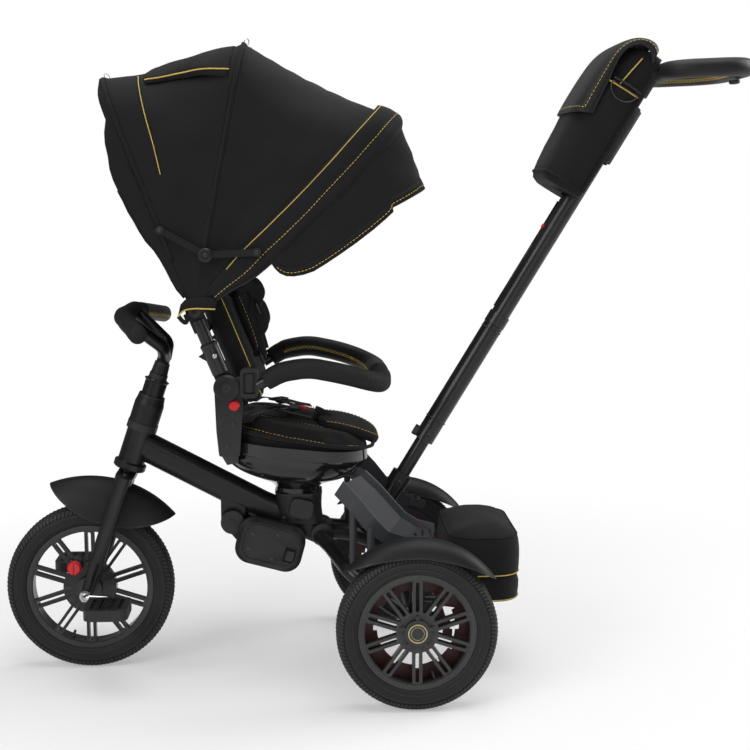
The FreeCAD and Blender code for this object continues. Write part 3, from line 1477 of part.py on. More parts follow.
def canopy_curtain():
    """Rear of the canopy: curved top behind the rear bow and the back wall below it."""
    angle, top = rear_bow
    spots = [(angle + panel_gap + d, top + over_bow + drop, cloth_low + low)
             for d, drop, low in curtain_line]
    shell = hoops(spots)
    a = math.radians(spots[-1][0])
    out = V(math.cos(a), 0, math.sin(a))
    back = V(-out.z, 0, out.x)
    p = V(canopy_x, 0, canopy_z)
    r1 = spots[-1][1] + cloth_t
    middle = p + out * ((r1 + cloth_low) / 2)
    wire = pill(middle, out, Y, (r1 - cloth_low) / 2, cloth_y + cloth_t, bow_corner)
    wall = prism(wire, back * cloth_t)
    return joined([shell, wall])


visor_line = [(0.0, 0.0, 150.0), (-9.0, -6.0, 152.0), (-17.0, -16.0, 176.0)]


def canopy_visor():
    """Peak in front of the front bow."""
    angle, top = front_bow
    return hoops([(angle - panel_gap + d, top + over_bow + drop, low)
                  for d, drop, low in visor_line])


link_len = 79.0
link_half_w = 5.5
link_t = 3.2


def link_end(angle, y):
    return polar(angle, link_hole_r, y)


def elbow_spot():
    """Elbow of the toggle links: equally far from both bows, on the pivot's side."""
    a, b = link_end(rear_bow[0], 0), link_end(front_bow[0], 0)
    half = a.distanceToPoint(b) / 2
    drop = math.sqrt(link_len ** 2 - half ** 2)
    inward = (V(canopy_x, 0, canopy_z) - (a + b) * 0.5).normalize()
    return (a + b) * 0.5 + inward * drop


link_y = cloth_y + cloth_t + 1.0


def links(angle, layer, knob):
    """Toggle links of both sides on one bow, with their pins."""
    parts = []
    for side in (-1, 1):
        y0 = link_y + layer * (link_t + clearance)
        a, b = link_end(angle, side * y0), elbow_spot() + V(0, side * y0, 0)
        along = (b - a).normalize()
        wide = V(-along.z, 0, along.x)
        wire = pill((a + b) * 0.5, along, wide, link_len / 2 + link_half_w, link_half_w, link_half_w)
        bar = prism(wire, Y * side * link_t)
        pin = rod(V(a.x, side * (bow_y - 1.5), a.z), V(a.x, side * (y0 + link_t + 2), a.z), link_pin_r)
        head = rod(V(a.x, side * (y0 + link_t - 0.5), a.z), V(a.x, side * (y0 + link_t + 2.5), a.z), 6.5)
        parts += [joined([bar, head, pin] + ([knob_disc(b, side, y0)] if knob else []))]
    return group(parts)


def knob_disc(centre, side, y0):
    c = V(centre.x, 0, centre.z)
    return turned(c + Y * side * (y0 + link_t - 0.5), Y * side,
                  [(0, 0), (0, 11.0), (3.0, 11.0), (5.0, 8.0), (5.0, 0)])


def rear_links():
    return links(rear_bow[0], 0, False)


def front_links():
    return links(front_bow[0], 1, True)


# ------------------------------------------------------------------ extra carriers
rail_r = 5.0
rail_y = 70.0


def storage_rails():
    """Two rods from the axle bar that carry the bin."""
    z = basket_low_z - clearance - rail_r
    parts = []
    for side in (-1, 1):
        y = side * rail_y
        rail = bent_tube([V(rear_axle_x, y, rear_wheel_r), V(rear_axle_x + 26, y, z),
                          V(bag_x1 - 20, y, z)], [30.0], rail_r)
        bar = rod(V(rear_axle_x, y - 9, rear_wheel_r), V(rear_axle_x, y + 9, rear_wheel_r),
                  axle_bar_r + seat_gap)
        parts.append(rail.cut(bar))
    return group(parts)


# ------------------------------------------------------------------ write
SIDES = (("left", -1), ("right", 1))


def parts_list():
    made = {
        "main_frame": group([main_frame(), footrest_bracket()]),
        "rear_frame": group([rear_frame(), push_socket()]),
        "rear_axle": group([rear_axle(), brake_bracket(), storage_rails()]),
        "head_bearings": head_bearings(),
        "headset_cover": headset_cover(),
        "seat_post": seat_post(),
        "seat_release_lever": seat_release_lever(),
        "foot_panels": group([foot_panel(side) for _, side in SIDES]),
        "rear_fenders": group([rear_fender(side) for _, side in SIDES]),
        "storage_basket": storage_basket(),
        "storage_lid": storage_lid(),
        "footrest_arm": footrest_arm(),
        "fork": fork(),
        "front_fender": front_fender(),
        "stem_collar": stem_collar(),
        "stem_boot": stem_boot(),
        "handlebar": handlebar(),
        "handlebar_grips": handlebar_grips(),
        "front_rim": front_rim(),
        "front_tyre": front_tyre(),
        "clutch_knob": clutch_knob(),
        "crank": crank(),
        "brake_pedal": brake_pedal(),
        "push_lower_tube": group([push_lower_tube(), push_sleeve(), sleeve_latch()]),
        "push_upper_tube": push_upper_tube(),
        "push_lock_button": push_lock_button(),
        "push_handle": push_handle(),
        "pouch": group([pouch(), pouch_strap()]),
        "pouch_flap": pouch_flap(),
        "seat_tub": seat_tub(),
        "seat_brackets": group([make(side) for _, side in SIDES for make in (seat_bracket, boss_cap)]),
        "seat_cushion": seat_cushion(),
        "back_frame": group([back_frame(), back_bracket(-1), back_bracket(1), canopy_sockets()]),
        "back_cushion": back_cushion(),
        "shoulder_pads": shoulder_pads(),
        "harness_buckle": harness_buckle(),
        "buckle_button": buckle_button(),
        "armrest_core": armrest_core(),
        "armrest_foam": armrest_foam(),
        "rear_bow": bow(*rear_bow, 2),
        "middle_bow": bow(*middle_bow, 1),
        "front_bow": bow(*front_bow, 0),
        "canopy_curtain": canopy_curtain(),
        "canopy_rear_panel": canopy_rear_panel(),
        "canopy_front_panel": canopy_front_panel(),
        "canopy_visor": canopy_visor(),
        "rear_links": rear_links(),
        "front_links": front_links(),
    }
    for word, side in SIDES:
        made["rear_rim_" + word] = rear_rim(side)
        made["rear_tyre_" + word] = rear_tyre(side)
        made["wheel_trim_" + word] = group([hub_cap(side), brake_ring(side)])
        made["pedal_" + word] = pedal(side)
        made["footrest_pad_" + word] = footrest_pad(side)
        made["recline_button_" + word] = recline_button(side)
    return made


def main():
    os.makedirs("parts", exist_ok=True)
    for name, shape in parts_list().items():
        shape.exportStep("parts/" + name + ".step")


if __name__ == "__main__":
    main()
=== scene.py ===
"""Looks of a stroller tricycle: soft goods, trim, fasteners, materials and studio."""
import math

import bmesh
import bpy
from bpy.props import FloatProperty, FloatVectorProperty, IntProperty, PointerProperty
from mathutils import Matrix, Vector
from mathutils.kdtree import KDTree


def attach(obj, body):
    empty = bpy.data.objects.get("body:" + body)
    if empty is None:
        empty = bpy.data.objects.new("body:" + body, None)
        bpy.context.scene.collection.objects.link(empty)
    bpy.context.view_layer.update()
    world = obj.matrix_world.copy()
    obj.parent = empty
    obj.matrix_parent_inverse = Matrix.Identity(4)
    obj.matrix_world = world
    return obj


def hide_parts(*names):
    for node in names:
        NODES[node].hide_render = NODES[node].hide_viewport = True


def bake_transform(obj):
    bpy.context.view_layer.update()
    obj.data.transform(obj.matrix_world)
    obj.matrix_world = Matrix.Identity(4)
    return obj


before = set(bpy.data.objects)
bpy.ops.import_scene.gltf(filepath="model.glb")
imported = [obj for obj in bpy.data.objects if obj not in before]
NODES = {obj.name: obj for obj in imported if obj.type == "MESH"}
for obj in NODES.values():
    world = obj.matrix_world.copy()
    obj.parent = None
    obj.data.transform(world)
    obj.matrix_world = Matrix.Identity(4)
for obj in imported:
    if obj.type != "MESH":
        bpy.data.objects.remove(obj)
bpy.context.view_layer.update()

bl_info = {
    "name": "Stroller Tricycle Dressing",
    "version": (1, 0, 0),
    "blender": (4, 5, 0),
    "location": "View3D > Sidebar > Tricycle",
    "description": "Dresses the packed tricycle frame with cloth, foam, leather, trim and materials",
    "category": "Object",
}


# ---------------------------------------------------------------- places, in millimetres
def mm(x, y=0.0, z=0.0):
    """A place of the row frame in metres."""
    return Vector((x, y, z)) * 0.001


REARWARD, ACROSS, UP = Vector((1, 0, 0)), Vector((0, 1, 0)), Vector((0, 0, 1))

PIVOT = (-286.0, 624.0)
REAR_BOW = (111.0, 379.0)  # angle about the pivot and height of the crown
MIDDLE_BOW = (79.0, 416.0)
FRONT_BOW = (43.0, 434.0)
BOW_CORNER = 62.0
MIDDLE_PLACE = 0.433       # where a smooth step reaches 0.4, the middle bow's share of the fold
CLOTH_Y = 174.3
CREASE_MIDDLE = (70.0, 130.0)  # creases move cloth away from here, counted from the pivot
COVER_RISE = 5.0           # cloth over the middle of a bow's tube
CROWN = 3.5                # how much the roof arches between its shoulders
CLOTH_GAP = 0.9            # between the bows' sides and the cloth
ROOF_SEED = 0.7            # picks the creases of the roof
FINE_PITCH = 0.0058        # stitch pitch on sleeves, visor and handles, in metres
PAD_Y = 46                 # shoulder pads off the middle
LINK_Y = 177.7             # canopy links off the middle
BOSS = (-237.5, 502.0)
BACK_LEAN = math.radians(22.4)
PUSH_ANGLE = math.radians(58.8)
PUSH_START = (66.2, 352.4)
STEER_LEAN = math.radians(18.6)
FRONT_HUB = (-482.0, 141.0)
REAR_HUB = (59.0, 127.0)
HALF_TRACK = 231.0
ARM_LINE = [(-188.0, 152.0, 505.0), (-152.0, 158.0, 527.0), (-108.0, 160.0, 534.5),
            (-45.0, 158.0, 522.0), (8.0, 130.0, 503.0), (16.0, 0.0, 498.0)]
SIDES = (("left", -1), ("right", 1))


def push_at(s, d=0.0, y=0.0):
    """s along the push bar, d in front of its axis."""
    c, n = math.cos(PUSH_ANGLE), math.sin(PUSH_ANGLE)
    return mm(PUSH_START[0] + s * c - d * n, y, PUSH_START[1] + s * n + d * c)


def steer_at(s, f=0.0, y=0.0):
    """s up the steering axis from the front hub, f ahead of it."""
    c, n = math.cos(STEER_LEAN), math.sin(STEER_LEAN)
    return mm(FRONT_HUB[0] + s * n - f * c, y, FRONT_HUB[1] + s * c + f * n)


def back_at(b, f=0.0, y=0.0):
    """b up the backrest from the recline joint, f in front of its tubes."""
    c, n = math.cos(BACK_LEAN), math.sin(BACK_LEAN)
    return mm(BOSS[0] - b * n + f * c, y, BOSS[1] + b * c + f * n)


def back_ways():
    """Directions up the backrest and to its front."""
    return (back_at(1) - back_at(0)).normalized(), (back_at(0, 1) - back_at(0)).normalized()


def fan_at(angle, r, y=0.0):
    """Polar place about the canopy's pivot."""
    a = math.radians(angle)
    return pivot_at(r * math.cos(a), r * math.sin(a), y)


def pivot_at(x=0.0, z=0.0, y=0.0):
    """Place counted from the canopy's pivot."""
    return mm(PIVOT[0] + x, y, PIVOT[1] + z)


# ---------------------------------------------------------------- settings
def tint(name, text, value):
    return FloatVectorProperty(name=name, description=text, subtype="COLOR", size=3,
                               min=0.0, max=1.0, default=value)


def length(name, text, value):
    return FloatProperty(name=name, description=text, unit="LENGTH", min=0.0, default=value)


class TRIKE_PG_colours(bpy.types.PropertyGroup):
    """Colours of the finishes."""
    paint: tint("Paint", "Powder-coated tubes", (0.0062, 0.0062, 0.007))
    plastic: tint("Plastic", "Matte moulded parts", (0.0085, 0.0085, 0.0095))
    gloss: tint("Gloss plastic", "Polished moulded parts", (0.0065, 0.0065, 0.0072))
    grey: tint("Grey plastic", "Lighter moulded faces", (0.030, 0.031, 0.036))
    cloth: tint("Cloth", "Woven cover cloth", (0.0072, 0.0072, 0.008))
    liner: tint("Liner", "Padded seat cloth", (0.006, 0.006, 0.0067))
    leather: tint("Leather", "Leather-like covers", (0.0092, 0.0086, 0.009))
    foam: tint("Foam", "Foam sleeves", (0.0078, 0.0074, 0.0075))
    rubber: tint("Rubber", "Tyres", (0.0125, 0.0125, 0.013))
    gold: tint("Gold thread", "Stitching and piping", (0.46, 0.33, 0.07))
    red: tint("Red", "Release buttons", (0.62, 0.012, 0.02))
    chrome: tint("Chrome", "Crank and small metal", (0.62, 0.62, 0.63))
    floor: tint("Floor", "Studio floor", (0.93, 0.93, 0.93))


class TRIKE_PG_sizes(bpy.types.PropertyGroup):
    """Sizes a user may want to change."""
    thread: length("Thread", "Thickness of the sewing thread", 0.0011)
    stitch: length("Stitch", "Length of one stitch", 0.0048)
    pitch: length("Stitch pitch", "Distance between stitches", 0.0066)
    piping: length("Piping", "Radius of the piping cord", 0.0010)
    cloth: length("Cloth", "Thickness of the canopy cloth", 0.0016)
    tread: IntProperty(name="Tread blocks", description="Blocks around a tyre's shoulder",
                       default=120, min=12)


def colours():
    return bpy.context.scene.trike_colours


def sizes():
    return bpy.context.scene.trike_sizes


# ---------------------------------------------------------------- shader groups
def shader_group(name, numbers):
    """Empty group that takes a colour and named numbers and gives colour, roughness and height."""
    tree = bpy.data.node_groups.new(name, "ShaderNodeTree")
    face = tree.interface
    tone = face.new_socket("Colour", in_out="INPUT", socket_type="NodeSocketColor")
    tone.default_value = (0.02, 0.02, 0.02, 1)
    for label, value in numbers:
        face.new_socket(label, in_out="INPUT", socket_type="NodeSocketFloat").default_value = value
    for label, kind in (("Colour", "Color"), ("Roughness", "Float"), ("Height", "Float")):
        face.new_socket(label, in_out="OUTPUT", socket_type="NodeSocket" + kind)
    return tree, tree.nodes.new("NodeGroupInput"), tree.nodes.new("NodeGroupOutput")


def fed(tree, kind, **feeds):
    """A new node with links to its named inputs."""
    node = tree.nodes.new(kind)
    for key, value in feeds.items():
        tree.links.new(value, node.inputs[key])
    return node


def give(tree, tail, colour, roughness, height):
    """Links a group's three results."""
    for key, value in (("Colour", colour), ("Roughness", roughness), ("Height", height)):
        tree.links.new(value, tail.inputs[key])
    return tree


def math_node(tree, op, a, b=0.0, c=None):
    node = tree.nodes.new("ShaderNodeMath")
    node.operation = op
    for i, value in enumerate((a, b) if c is None else (a, b, c)):
        if isinstance(value, bpy.types.NodeSocket):
            tree.links.new(value, node.inputs[i])
        else:
            node.inputs[i].default_value = value
    return node.outputs[0]


def noise_node(tree, coords, scale, detail=3.0):
    node = fed(tree, "ShaderNodeTexNoise", Vector=coords)
    if isinstance(scale, bpy.types.NodeSocket):
        tree.links.new(scale, node.inputs["Scale"])
    else:
        node.inputs["Scale"].default_value = scale
    node.inputs["Detail"].default_value = detail
    node.inputs["Roughness"].default_value = 0.6
    return node.outputs["Fac"]


def mixed(tree, factor, a, b, kind="MIX"):
    """Colour mix of two sockets or colours."""
    node = tree.nodes.new("ShaderNodeMix")
    node.data_type = "RGBA"
    node.blend_type = kind
    for key, value in ((0, factor), (6, a), (7, b)):
        if isinstance(value, bpy.types.NodeSocket):
            tree.links.new(value, node.inputs[key])
        elif key == 0:
            node.inputs[0].default_value = value
        else:
            node.inputs[key].default_value = (*value[:3], 1.0)
    return node.outputs[2]


def object_coords(tree):
    return tree.nodes.new("ShaderNodeTexCoord").outputs["Object"]


def surface_group():
    """Tone and gloss variation with worn edges for hard finishes."""
    tree, head, tail = shader_group(
        "Handled surface",
        (("Roughness", 0.4), ("Grain scale", 900.0), ("Grain", 0.5), ("Wear", 0.2)))
    coords = object_coords(tree)
    broad = noise_node(tree, coords, 7.0, 4.0)
    fine = noise_node(tree, coords, head.outputs["Grain scale"], 2.0)
    edge = tree.nodes.new("ShaderNodeNewGeometry").outputs["Pointiness"]
    rim = math_node(tree, "MULTIPLY", math_node(tree, "SUBTRACT", edge, 0.515), 18.0)
    rim = math_node(tree, "MINIMUM", math_node(tree, "MAXIMUM", rim, 0.0), 1.0)
    worn = math_node(tree, "MULTIPLY", math_node(tree, "MULTIPLY", rim, broad), head.outputs["Wear"])
    shade = tree.nodes.new("ShaderNodeCombineColor")
    extra = math_node(tree, "MULTIPLY_ADD", worn, 0.12, math_node(tree, "MULTIPLY", broad, 0.0035))
    for i in range(3):
        tree.links.new(extra, shade.inputs[i])
    colour = mixed(tree, 1.0, head.outputs["Colour"], shade.outputs[0], "ADD")
    rough = math_node(tree, "MULTIPLY_ADD", math_node(tree, "SUBTRACT", broad, 0.5), 0.16,
                      head.outputs["Roughness"])
    rough = math_node(tree, "MULTIPLY_ADD", worn, -0.15, rough)
    return give(tree, tail, colour, rough, math_node(tree, "MULTIPLY", fine, head.outputs["Grain"]))


def weave_group():
    """Plain weave of warp and weft threads with loose fuzz and broad patches of lighter and darker tone.
    """
    tree, head, tail = shader_group("Plain weave", (("Threads", 2200.0), ("Contrast", 0.5)))
    coords = object_coords(tree)
    split = tree.nodes.new("ShaderNodeSeparateXYZ")
    tree.links.new(coords, split.inputs[0])
    across = math_node(tree, "MULTIPLY_ADD", split.outputs[1], 0.75, split.outputs[0])
    along = math_node(tree, "MULTIPLY_ADD", split.outputs[1], 0.55, split.outputs[2])
    warp = math_node(tree, "SINE", math_node(tree, "MULTIPLY", across, head.outputs["Threads"]))
    weft = math_node(tree, "SINE", math_node(tree, "MULTIPLY", along, head.outputs["Threads"]))
    weave = math_node(tree, "MULTIPLY_ADD", math_node(tree, "MULTIPLY", warp, weft), 0.5, 0.5)
    slub = noise_node(tree, coords, 420.0, 3.0)
    broad = noise_node(tree, coords, 11.0, 4.0)
    body = math_node(tree, "MULTIPLY_ADD", slub, 0.5, math_node(tree, "MULTIPLY", weave, 0.5))
    amount = math_node(tree, "MULTIPLY", body, head.outputs["Contrast"])
    amount = math_node(tree, "MULTIPLY_ADD", math_node(tree, "SUBTRACT", broad, 0.5), 0.35, amount)
    base = head.outputs["Colour"]
    pale = mixed(tree, 1.0, base, (2.6, 2.6, 2.6), "MULTIPLY")
    return give(tree, tail, mixed(tree, amount, base, pale),
                math_node(tree, "MULTIPLY_ADD", slub, 0.2, 0.72), body)


def grain_group():
    """Pebbled grain of leather or closed pores of foam."""
    tree, head, tail = shader_group("Pebbled grain", (("Scale", 700.0), ("Roughness", 0.5),
            ("Spots", 0.3)))
    coords = object_coords(tree)
    cells = fed(tree, "ShaderNodeTexVoronoi", Vector=coords, Scale=head.outputs["Scale"])
    broad = noise_node(tree, coords, 16.0, 4.0)
    fine = noise_node(tree, coords, 2600.0, 2.0)
    pebble = math_node(tree, "MULTIPLY_ADD", fine, 0.35, cells.outputs["Distance"])
    base = head.outputs["Colour"]
    light = mixed(tree, 1.0, base, (2.0, 1.9, 1.85), "MULTIPLY")
    amount = math_node(tree, "MULTIPLY", math_node(tree, "ADD", fine, broad), head.outputs["Spots"])
    rough = math_node(tree, "MULTIPLY_ADD", broad, 0.16, head.outputs["Roughness"])
    return give(tree, tail, mixed(tree, amount, base, light), rough, pebble)


GROUPS = {}


def group_of(kind):
    """One of the three shader groups, made once."""
    if kind not in GROUPS:
        GROUPS[kind] = {"surface": surface_group, "weave": weave_group, "grain": grain_group}[kind]()
    return GROUPS[kind]


def material(name, kind, colour, bump=0.2, depth=0.0004, metallic=0.0, coat=0.0, coat_rough=0.1,
             sheen=0.0, specular=0.27, **values):
    """Principled material fed by one of the shared groups."""
    found = bpy.data.materials.get(name)
    if found:
        return found
    mat = bpy.data.materials.new(name)
    mat.use_nodes = True
    tree = mat.node_tree
    shader = tree.nodes["Principled BSDF"]
    for key, value in (("Metallic", metallic), ("Coat Weight", coat), ("Coat Roughness", coat_rough),
                       ("Sheen Weight", sheen), ("Sheen Roughness", 0.45),
                       ("Specular IOR Level", specular)):
        shader.inputs[key].default_value = value
    group = tree.nodes.new("ShaderNodeGroup")
    group.node_tree = group_of(kind)
    group.inputs["Colour"].default_value = (*colour, 1.0)
    for key, value in values.items():
        group.inputs[key.replace("_", " ").capitalize()].default_value = value
    tree.links.new(group.outputs["Colour"], shader.inputs["Base Color"])
    tree.links.new(group.outputs["Roughness"], shader.inputs["Roughness"])
    relief = tree.nodes.new("ShaderNodeBump")
    relief.inputs["Strength"].default_value = bump
    relief.inputs["Distance"].default_value = depth
    tree.links.new(group.outputs["Height"], relief.inputs["Height"])
    tree.links.new(relief.outputs[0], shader.inputs["Normal"])
    mat.diffuse_color = (*colour, 1.0)
    return mat


# Label, shader group, colour (a setting's name or a value) and values of each finish
FINISHES = {
    "paint": ("Satin powder coat", "surface", "paint",
              dict(bump=0.05, roughness=0.33, grain_scale=1400.0, wear=0.1, coat=0.15,
                   coat_rough=0.22)),
    "plastic": ("Matte moulding", "surface", "plastic",
                dict(bump=0.22, roughness=0.5, grain_scale=1800.0, wear=0.3)),
    "satin": ("Satin moulding", "surface", "plastic",
              dict(bump=0.1, roughness=0.34, grain_scale=1500.0, wear=0.2)),
    "gloss": ("Polished moulding", "surface", "gloss",
              dict(bump=0.03, roughness=0.16, grain_scale=700.0, wear=0.1, coat=0.5, coat_rough=0.06)),
    "grey": ("Grey moulding", "surface", "grey",
             dict(bump=0.25, roughness=0.55, grain_scale=1600.0, wear=0.2)),
    "rim": ("Wheel lacquer", "surface", "gloss",
            dict(bump=0.08, roughness=0.3, grain_scale=1200.0, wear=0.35, coat=0.25, coat_rough=0.2)),
    "red": ("Red moulding", "surface", "red",
            dict(bump=0.06, roughness=0.3, grain_scale=900.0, wear=0.1, coat=0.3)),
    "dark_red": ("Brake ring moulding", "surface", (0.05, 0.0045, 0.0075),
                 dict(bump=0.1, roughness=0.45, wear=0.2)),
    "chrome": ("Bright chrome", "surface", "chrome",
               dict(bump=0.02, roughness=0.1, metallic=1.0, grain_scale=500.0, wear=0.0)),
    "zinc": ("Zinc plate", "surface", (0.45, 0.45, 0.46),
             dict(bump=0.1, roughness=0.32, metallic=1.0, grain_scale=900.0, wear=0.3)),
    "black_steel": ("Blackened steel", "surface", (0.03, 0.03, 0.033),
                    dict(bump=0.08, roughness=0.35, metallic=0.6, wear=0.5)),
    "pale_gold": ("Pale gold enamel", "surface", (0.48, 0.4, 0.22),
                  dict(bump=0.03, roughness=0.3, metallic=0.4, wear=0.1)),
    "rubber": ("Tyre rubber", "surface", "rubber",
               dict(bump=0.35, roughness=0.62, grain_scale=2000.0, wear=0.35)),
    "soft_rubber": ("Soft rubber", "surface", "rubber", dict(bump=0.2, roughness=0.55, wear=0.2)),
    "foam": ("Cellular foam", "grain", "foam",
             dict(bump=0.3, depth=0.0005, scale=1500.0, roughness=0.62, spots=0.35)),
    "leather": ("Pebbled leather", "grain", "leather",
                dict(bump=0.28, depth=0.0004, scale=900.0, roughness=0.42, spots=0.25, sheen=0.08)),
    "cloth": ("Cover cloth", "weave", "cloth",
              dict(bump=0.35, depth=0.0004, threads=4200.0, contrast=0.5, sheen=0.06, specular=0.17)),
    "liner": ("Liner cloth", "weave", "liner",
              dict(bump=0.3, depth=0.0004, threads=5200.0, contrast=0.45, sheen=0.05, specular=0.22)),
    "webbing": ("Webbing", "weave", (0.0095, 0.0095, 0.0105),
                dict(bump=0.5, depth=0.0005, threads=2600.0, contrast=0.8, sheen=0.1, specular=0.4)),
    "gold": ("Gold thread", "weave", "gold",
             dict(bump=0.4, depth=0.0003, threads=7000.0, contrast=0.35, sheen=0.1, specular=0.35)),
}


def finish_of(name):
    """The material of a finish, made when it is first asked for."""
    label, kind, colour, values = FINISHES[name]
    if isinstance(colour, str):
        colour = getattr(colours(), colour)
    return material(label, kind, colour, **values)


def dress(obj, name):
    """Gives a piece or a node its finish."""
    obj.data.materials.clear()
    obj.data.materials.append(finish_of(name))


# ---------------------------------------------------------------- mesh helpers
def piece(name, verts, faces, finish, smooth=True):
    """A mesh piece in the row frame."""
    mesh = bpy.data.meshes.new(name)
    mesh.from_pydata([tuple(v) for v in verts], [], faces)
    mesh.validate()
    mesh.update()
    obj = bpy.data.objects.new(name, mesh)
    bpy.context.scene.collection.objects.link(obj)
    if smooth:
        mesh.shade_smooth()
    dress(obj, finish)
    return obj


def outward(obj):
    """Merges doubles and turns every face outwards."""
    work = bmesh.new()
    work.from_mesh(obj.data)
    bmesh.ops.remove_doubles(work, verts=work.verts, dist=1e-6)
    bmesh.ops.recalc_face_normals(work, faces=work.faces)
    work.to_mesh(obj.data)
    work.free()
    return obj


def skin(rows, ring=False):
    """Quads over rows of equally many points; ring joins each row's ends."""
    n = len(rows[0])
    verts = [p for row in rows for p in row]
    faces = []
    last = n if ring else n - 1
    for i in range(len(rows) - 1):
        for j in range(last):
            a, b = i * n + j, i * n + (j + 1) % n
            faces.append((a, b, b + n, a + n))
    return verts, faces


def mirrored(points):
    """The points of the other side, in reverse order."""
    return [Vector((p.x, -p.y, p.z)) for p in reversed(points)]


def run_of(points):
    """Length of a line of points."""
    return sum((b - a).length for a, b in zip(points, points[1:]))


def sheet_of(name, rows, finish, thick):
    """Cloth of some thickness over rows of points."""
    return thickened(outward(piece(name, *skin(rows), finish)), thick)


def loft(name, rings, finish, foot=True, top=True, smooth=True):
    """Skin over rings, with its first and last ring filled."""
    verts, faces = skin(rings, ring=True)
    n, m = len(rings[0]), len(rings)
    if foot:
        faces.append(tuple(reversed(range(n))))
    if top:
        faces.append(tuple(range((m - 1) * n, m * n)))
    return outward(piece(name, verts, faces, finish, smooth))


def applied(obj):
    """The evaluated mesh as a plain mesh, with the modifiers removed."""
    graph = bpy.context.evaluated_depsgraph_get()
    mesh = bpy.data.meshes.new_from_object(obj.evaluated_get(graph), depsgraph=graph)
    old = obj.data
    obj.modifiers.clear()
    obj.data = mesh
    mesh.name = obj.name
    bpy.data.meshes.remove(old)
    return obj


def thickened(obj, thick, offset=0.0):
    """Gives a sheet its thickness."""
    solid = obj.modifiers.new("Thickness", "SOLIDIFY")
    solid.thickness = thick
    solid.offset = offset
    return applied(obj)


def softened(obj):
    """Subdivides a pad once."""
    sub = obj.modifiers.new("Smooth", "SUBSURF")
    sub.levels = sub.render_levels = 1
    return applied(obj)


def smooth_line(points, per=8, closed=False):
    """Catmull-Rom line through the points."""
    out = []
    n = len(points)
    spans = n if closed else n - 1
    for i in range(spans):
        at = (lambda k: points[k % n]) if closed else (lambda k: points[min(max(k, 0), n - 1)])
        a, b, c, d = at(i - 1), at(i), at(i + 1), at(i + 2)
        for k in range(per):
            t = k / per
            out.append(0.5 * ((2 * b) + (c - a) * t + (2 * a - 5 * b + 4 * c - d) * t * t
                              + (3 * b - a - 3 * c + d) * t ** 3))
    if not closed:
        out.append(points[-1].copy())
    return out


def soft_line(place, spots, per):
    """Smooth line through places given by their coordinates."""
    return smooth_line([place(*spot) for spot in spots], per)


def spaced(points, gap):
    """Points at equal distances along a line."""
    total = run_of(points)
    count = max(2, round(total / gap))
    step = need = total / count
    out = [points[0].copy()]
    for a, b in zip(points, points[1:]):
        run = (b - a).length
        while need <= run + 1e-12 and run > 0:
            out.append(a.lerp(b, need / run))
            need += step
        need -= run
    if len(out) <= count:
        out.append(points[-1].copy())
    return out


def frames_along(points, up=None, closed=False):
    """Tangent, side and up at each point, carried along without twist."""
    n = len(points)
    tangents = []
    for i in range(n):
        a = points[(i - 1) % n] if closed or i else points[0]
        b = points[(i + 1) % n] if closed or i < n - 1 else points[-1]
        tangents.append((b - a).normalized())
    if up is None:
        up = ACROSS if abs(tangents[0].y) < 0.8 else UP
    out = []
    for t in tangents:
        up = (up - t * up.dot(t)).normalized()
        out.append((t, t.cross(up), up))
    return out


def tube_mesh(name, points, radius, finish, sides=12, closed=False, up=None, section=None):
    """Tube along points; radius is a number or a function of 0..1; section scales (side, up)."""
    n = len(points)
    rows = []
    for i, (p, (_, s, u)) in enumerate(zip(points, frames_along(points, up, closed))):
        r = radius(i / (n - 1)) if callable(radius) else radius
        row = []
        for j in range(sides):
            a = 2 * math.pi * j / sides
            x, y = math.cos(a), math.sin(a)
            if section:
                e = section[2] if len(section) > 2 else 1.0
                x = math.copysign(abs(x) ** e, x) * section[0]
                y = math.copysign(abs(y) ** e, y) * section[1]
            row.append(p + s * (r * x) + u * (r * y))
        rows.append(row)
    if closed:
        rows.append(rows[0])
    return loft(name, rows, finish, not closed, not closed)


def ring_cord(name, points, radius, finish):
    """Closed round cord or wire."""
    return tube_mesh(name, points, radius, finish, sides=8, closed=True)


def strap(name, points, width, thick, finish, up=None):
    """Flat webbing or leather strip with rounded edges."""
    section = (width / 2, thick / 2, 0.45)
    return tube_mesh(name, points, 1.0, finish, sides=12, up=up, section=section)


def merged(name, objs):
    """Joins pieces that share a body into one mesh."""
    graph = bpy.context.evaluated_depsgraph_get()
    work = bmesh.new()
    slots = []
    for obj in objs:
        mesh = bpy.data.meshes.new_from_object(obj.evaluated_get(graph), depsgraph=graph)
        start = len(work.faces)
        for mat in mesh.materials:
            if mat not in slots:
                slots.append(mat)
        picks = [slots.index(mat) for mat in mesh.materials]
        work.from_mesh(mesh)
        work.faces.ensure_lookup_table()
        for face in work.faces[start:]:
            face.material_index = picks[min(face.material_index, len(picks) - 1)]
        bpy.data.meshes.remove(mesh)
        bpy.data.objects.remove(obj)
    mesh = bpy.data.meshes.new(name)
    work.to_mesh(mesh)
    work.free()
    for mat in slots:
        mesh.materials.append(mat)
    out = bpy.data.objects.new(name, mesh)
    bpy.context.scene.collection.objects.link(out)
    return out


def lathe(name, centre, axis, profile, finish, sides=48):
    """Turned piece: profile of (along the axis, radius) in millimetres."""
    axis = Vector(axis).normalized()
    side = axis.orthogonal().normalized()
    other = axis.cross(side)
    rows = []
    for s, r in profile:
        ring = []
        for j in range(sides):
            a = 2 * math.pi * j / sides
            ring.append(centre + axis * (s * 0.001)
                        + (side * math.cos(a) + other * math.sin(a)) * (max(r, 0.001) * 0.001))
        rows.append(ring)
    obj = loft(name, rows, finish, smooth=False)
    for poly in obj.data.polygons:
        poly.use_smooth = len(poly.vertices) == 4
    obj.data.set_sharp_from_angle(angle=math.radians(35))
    return obj


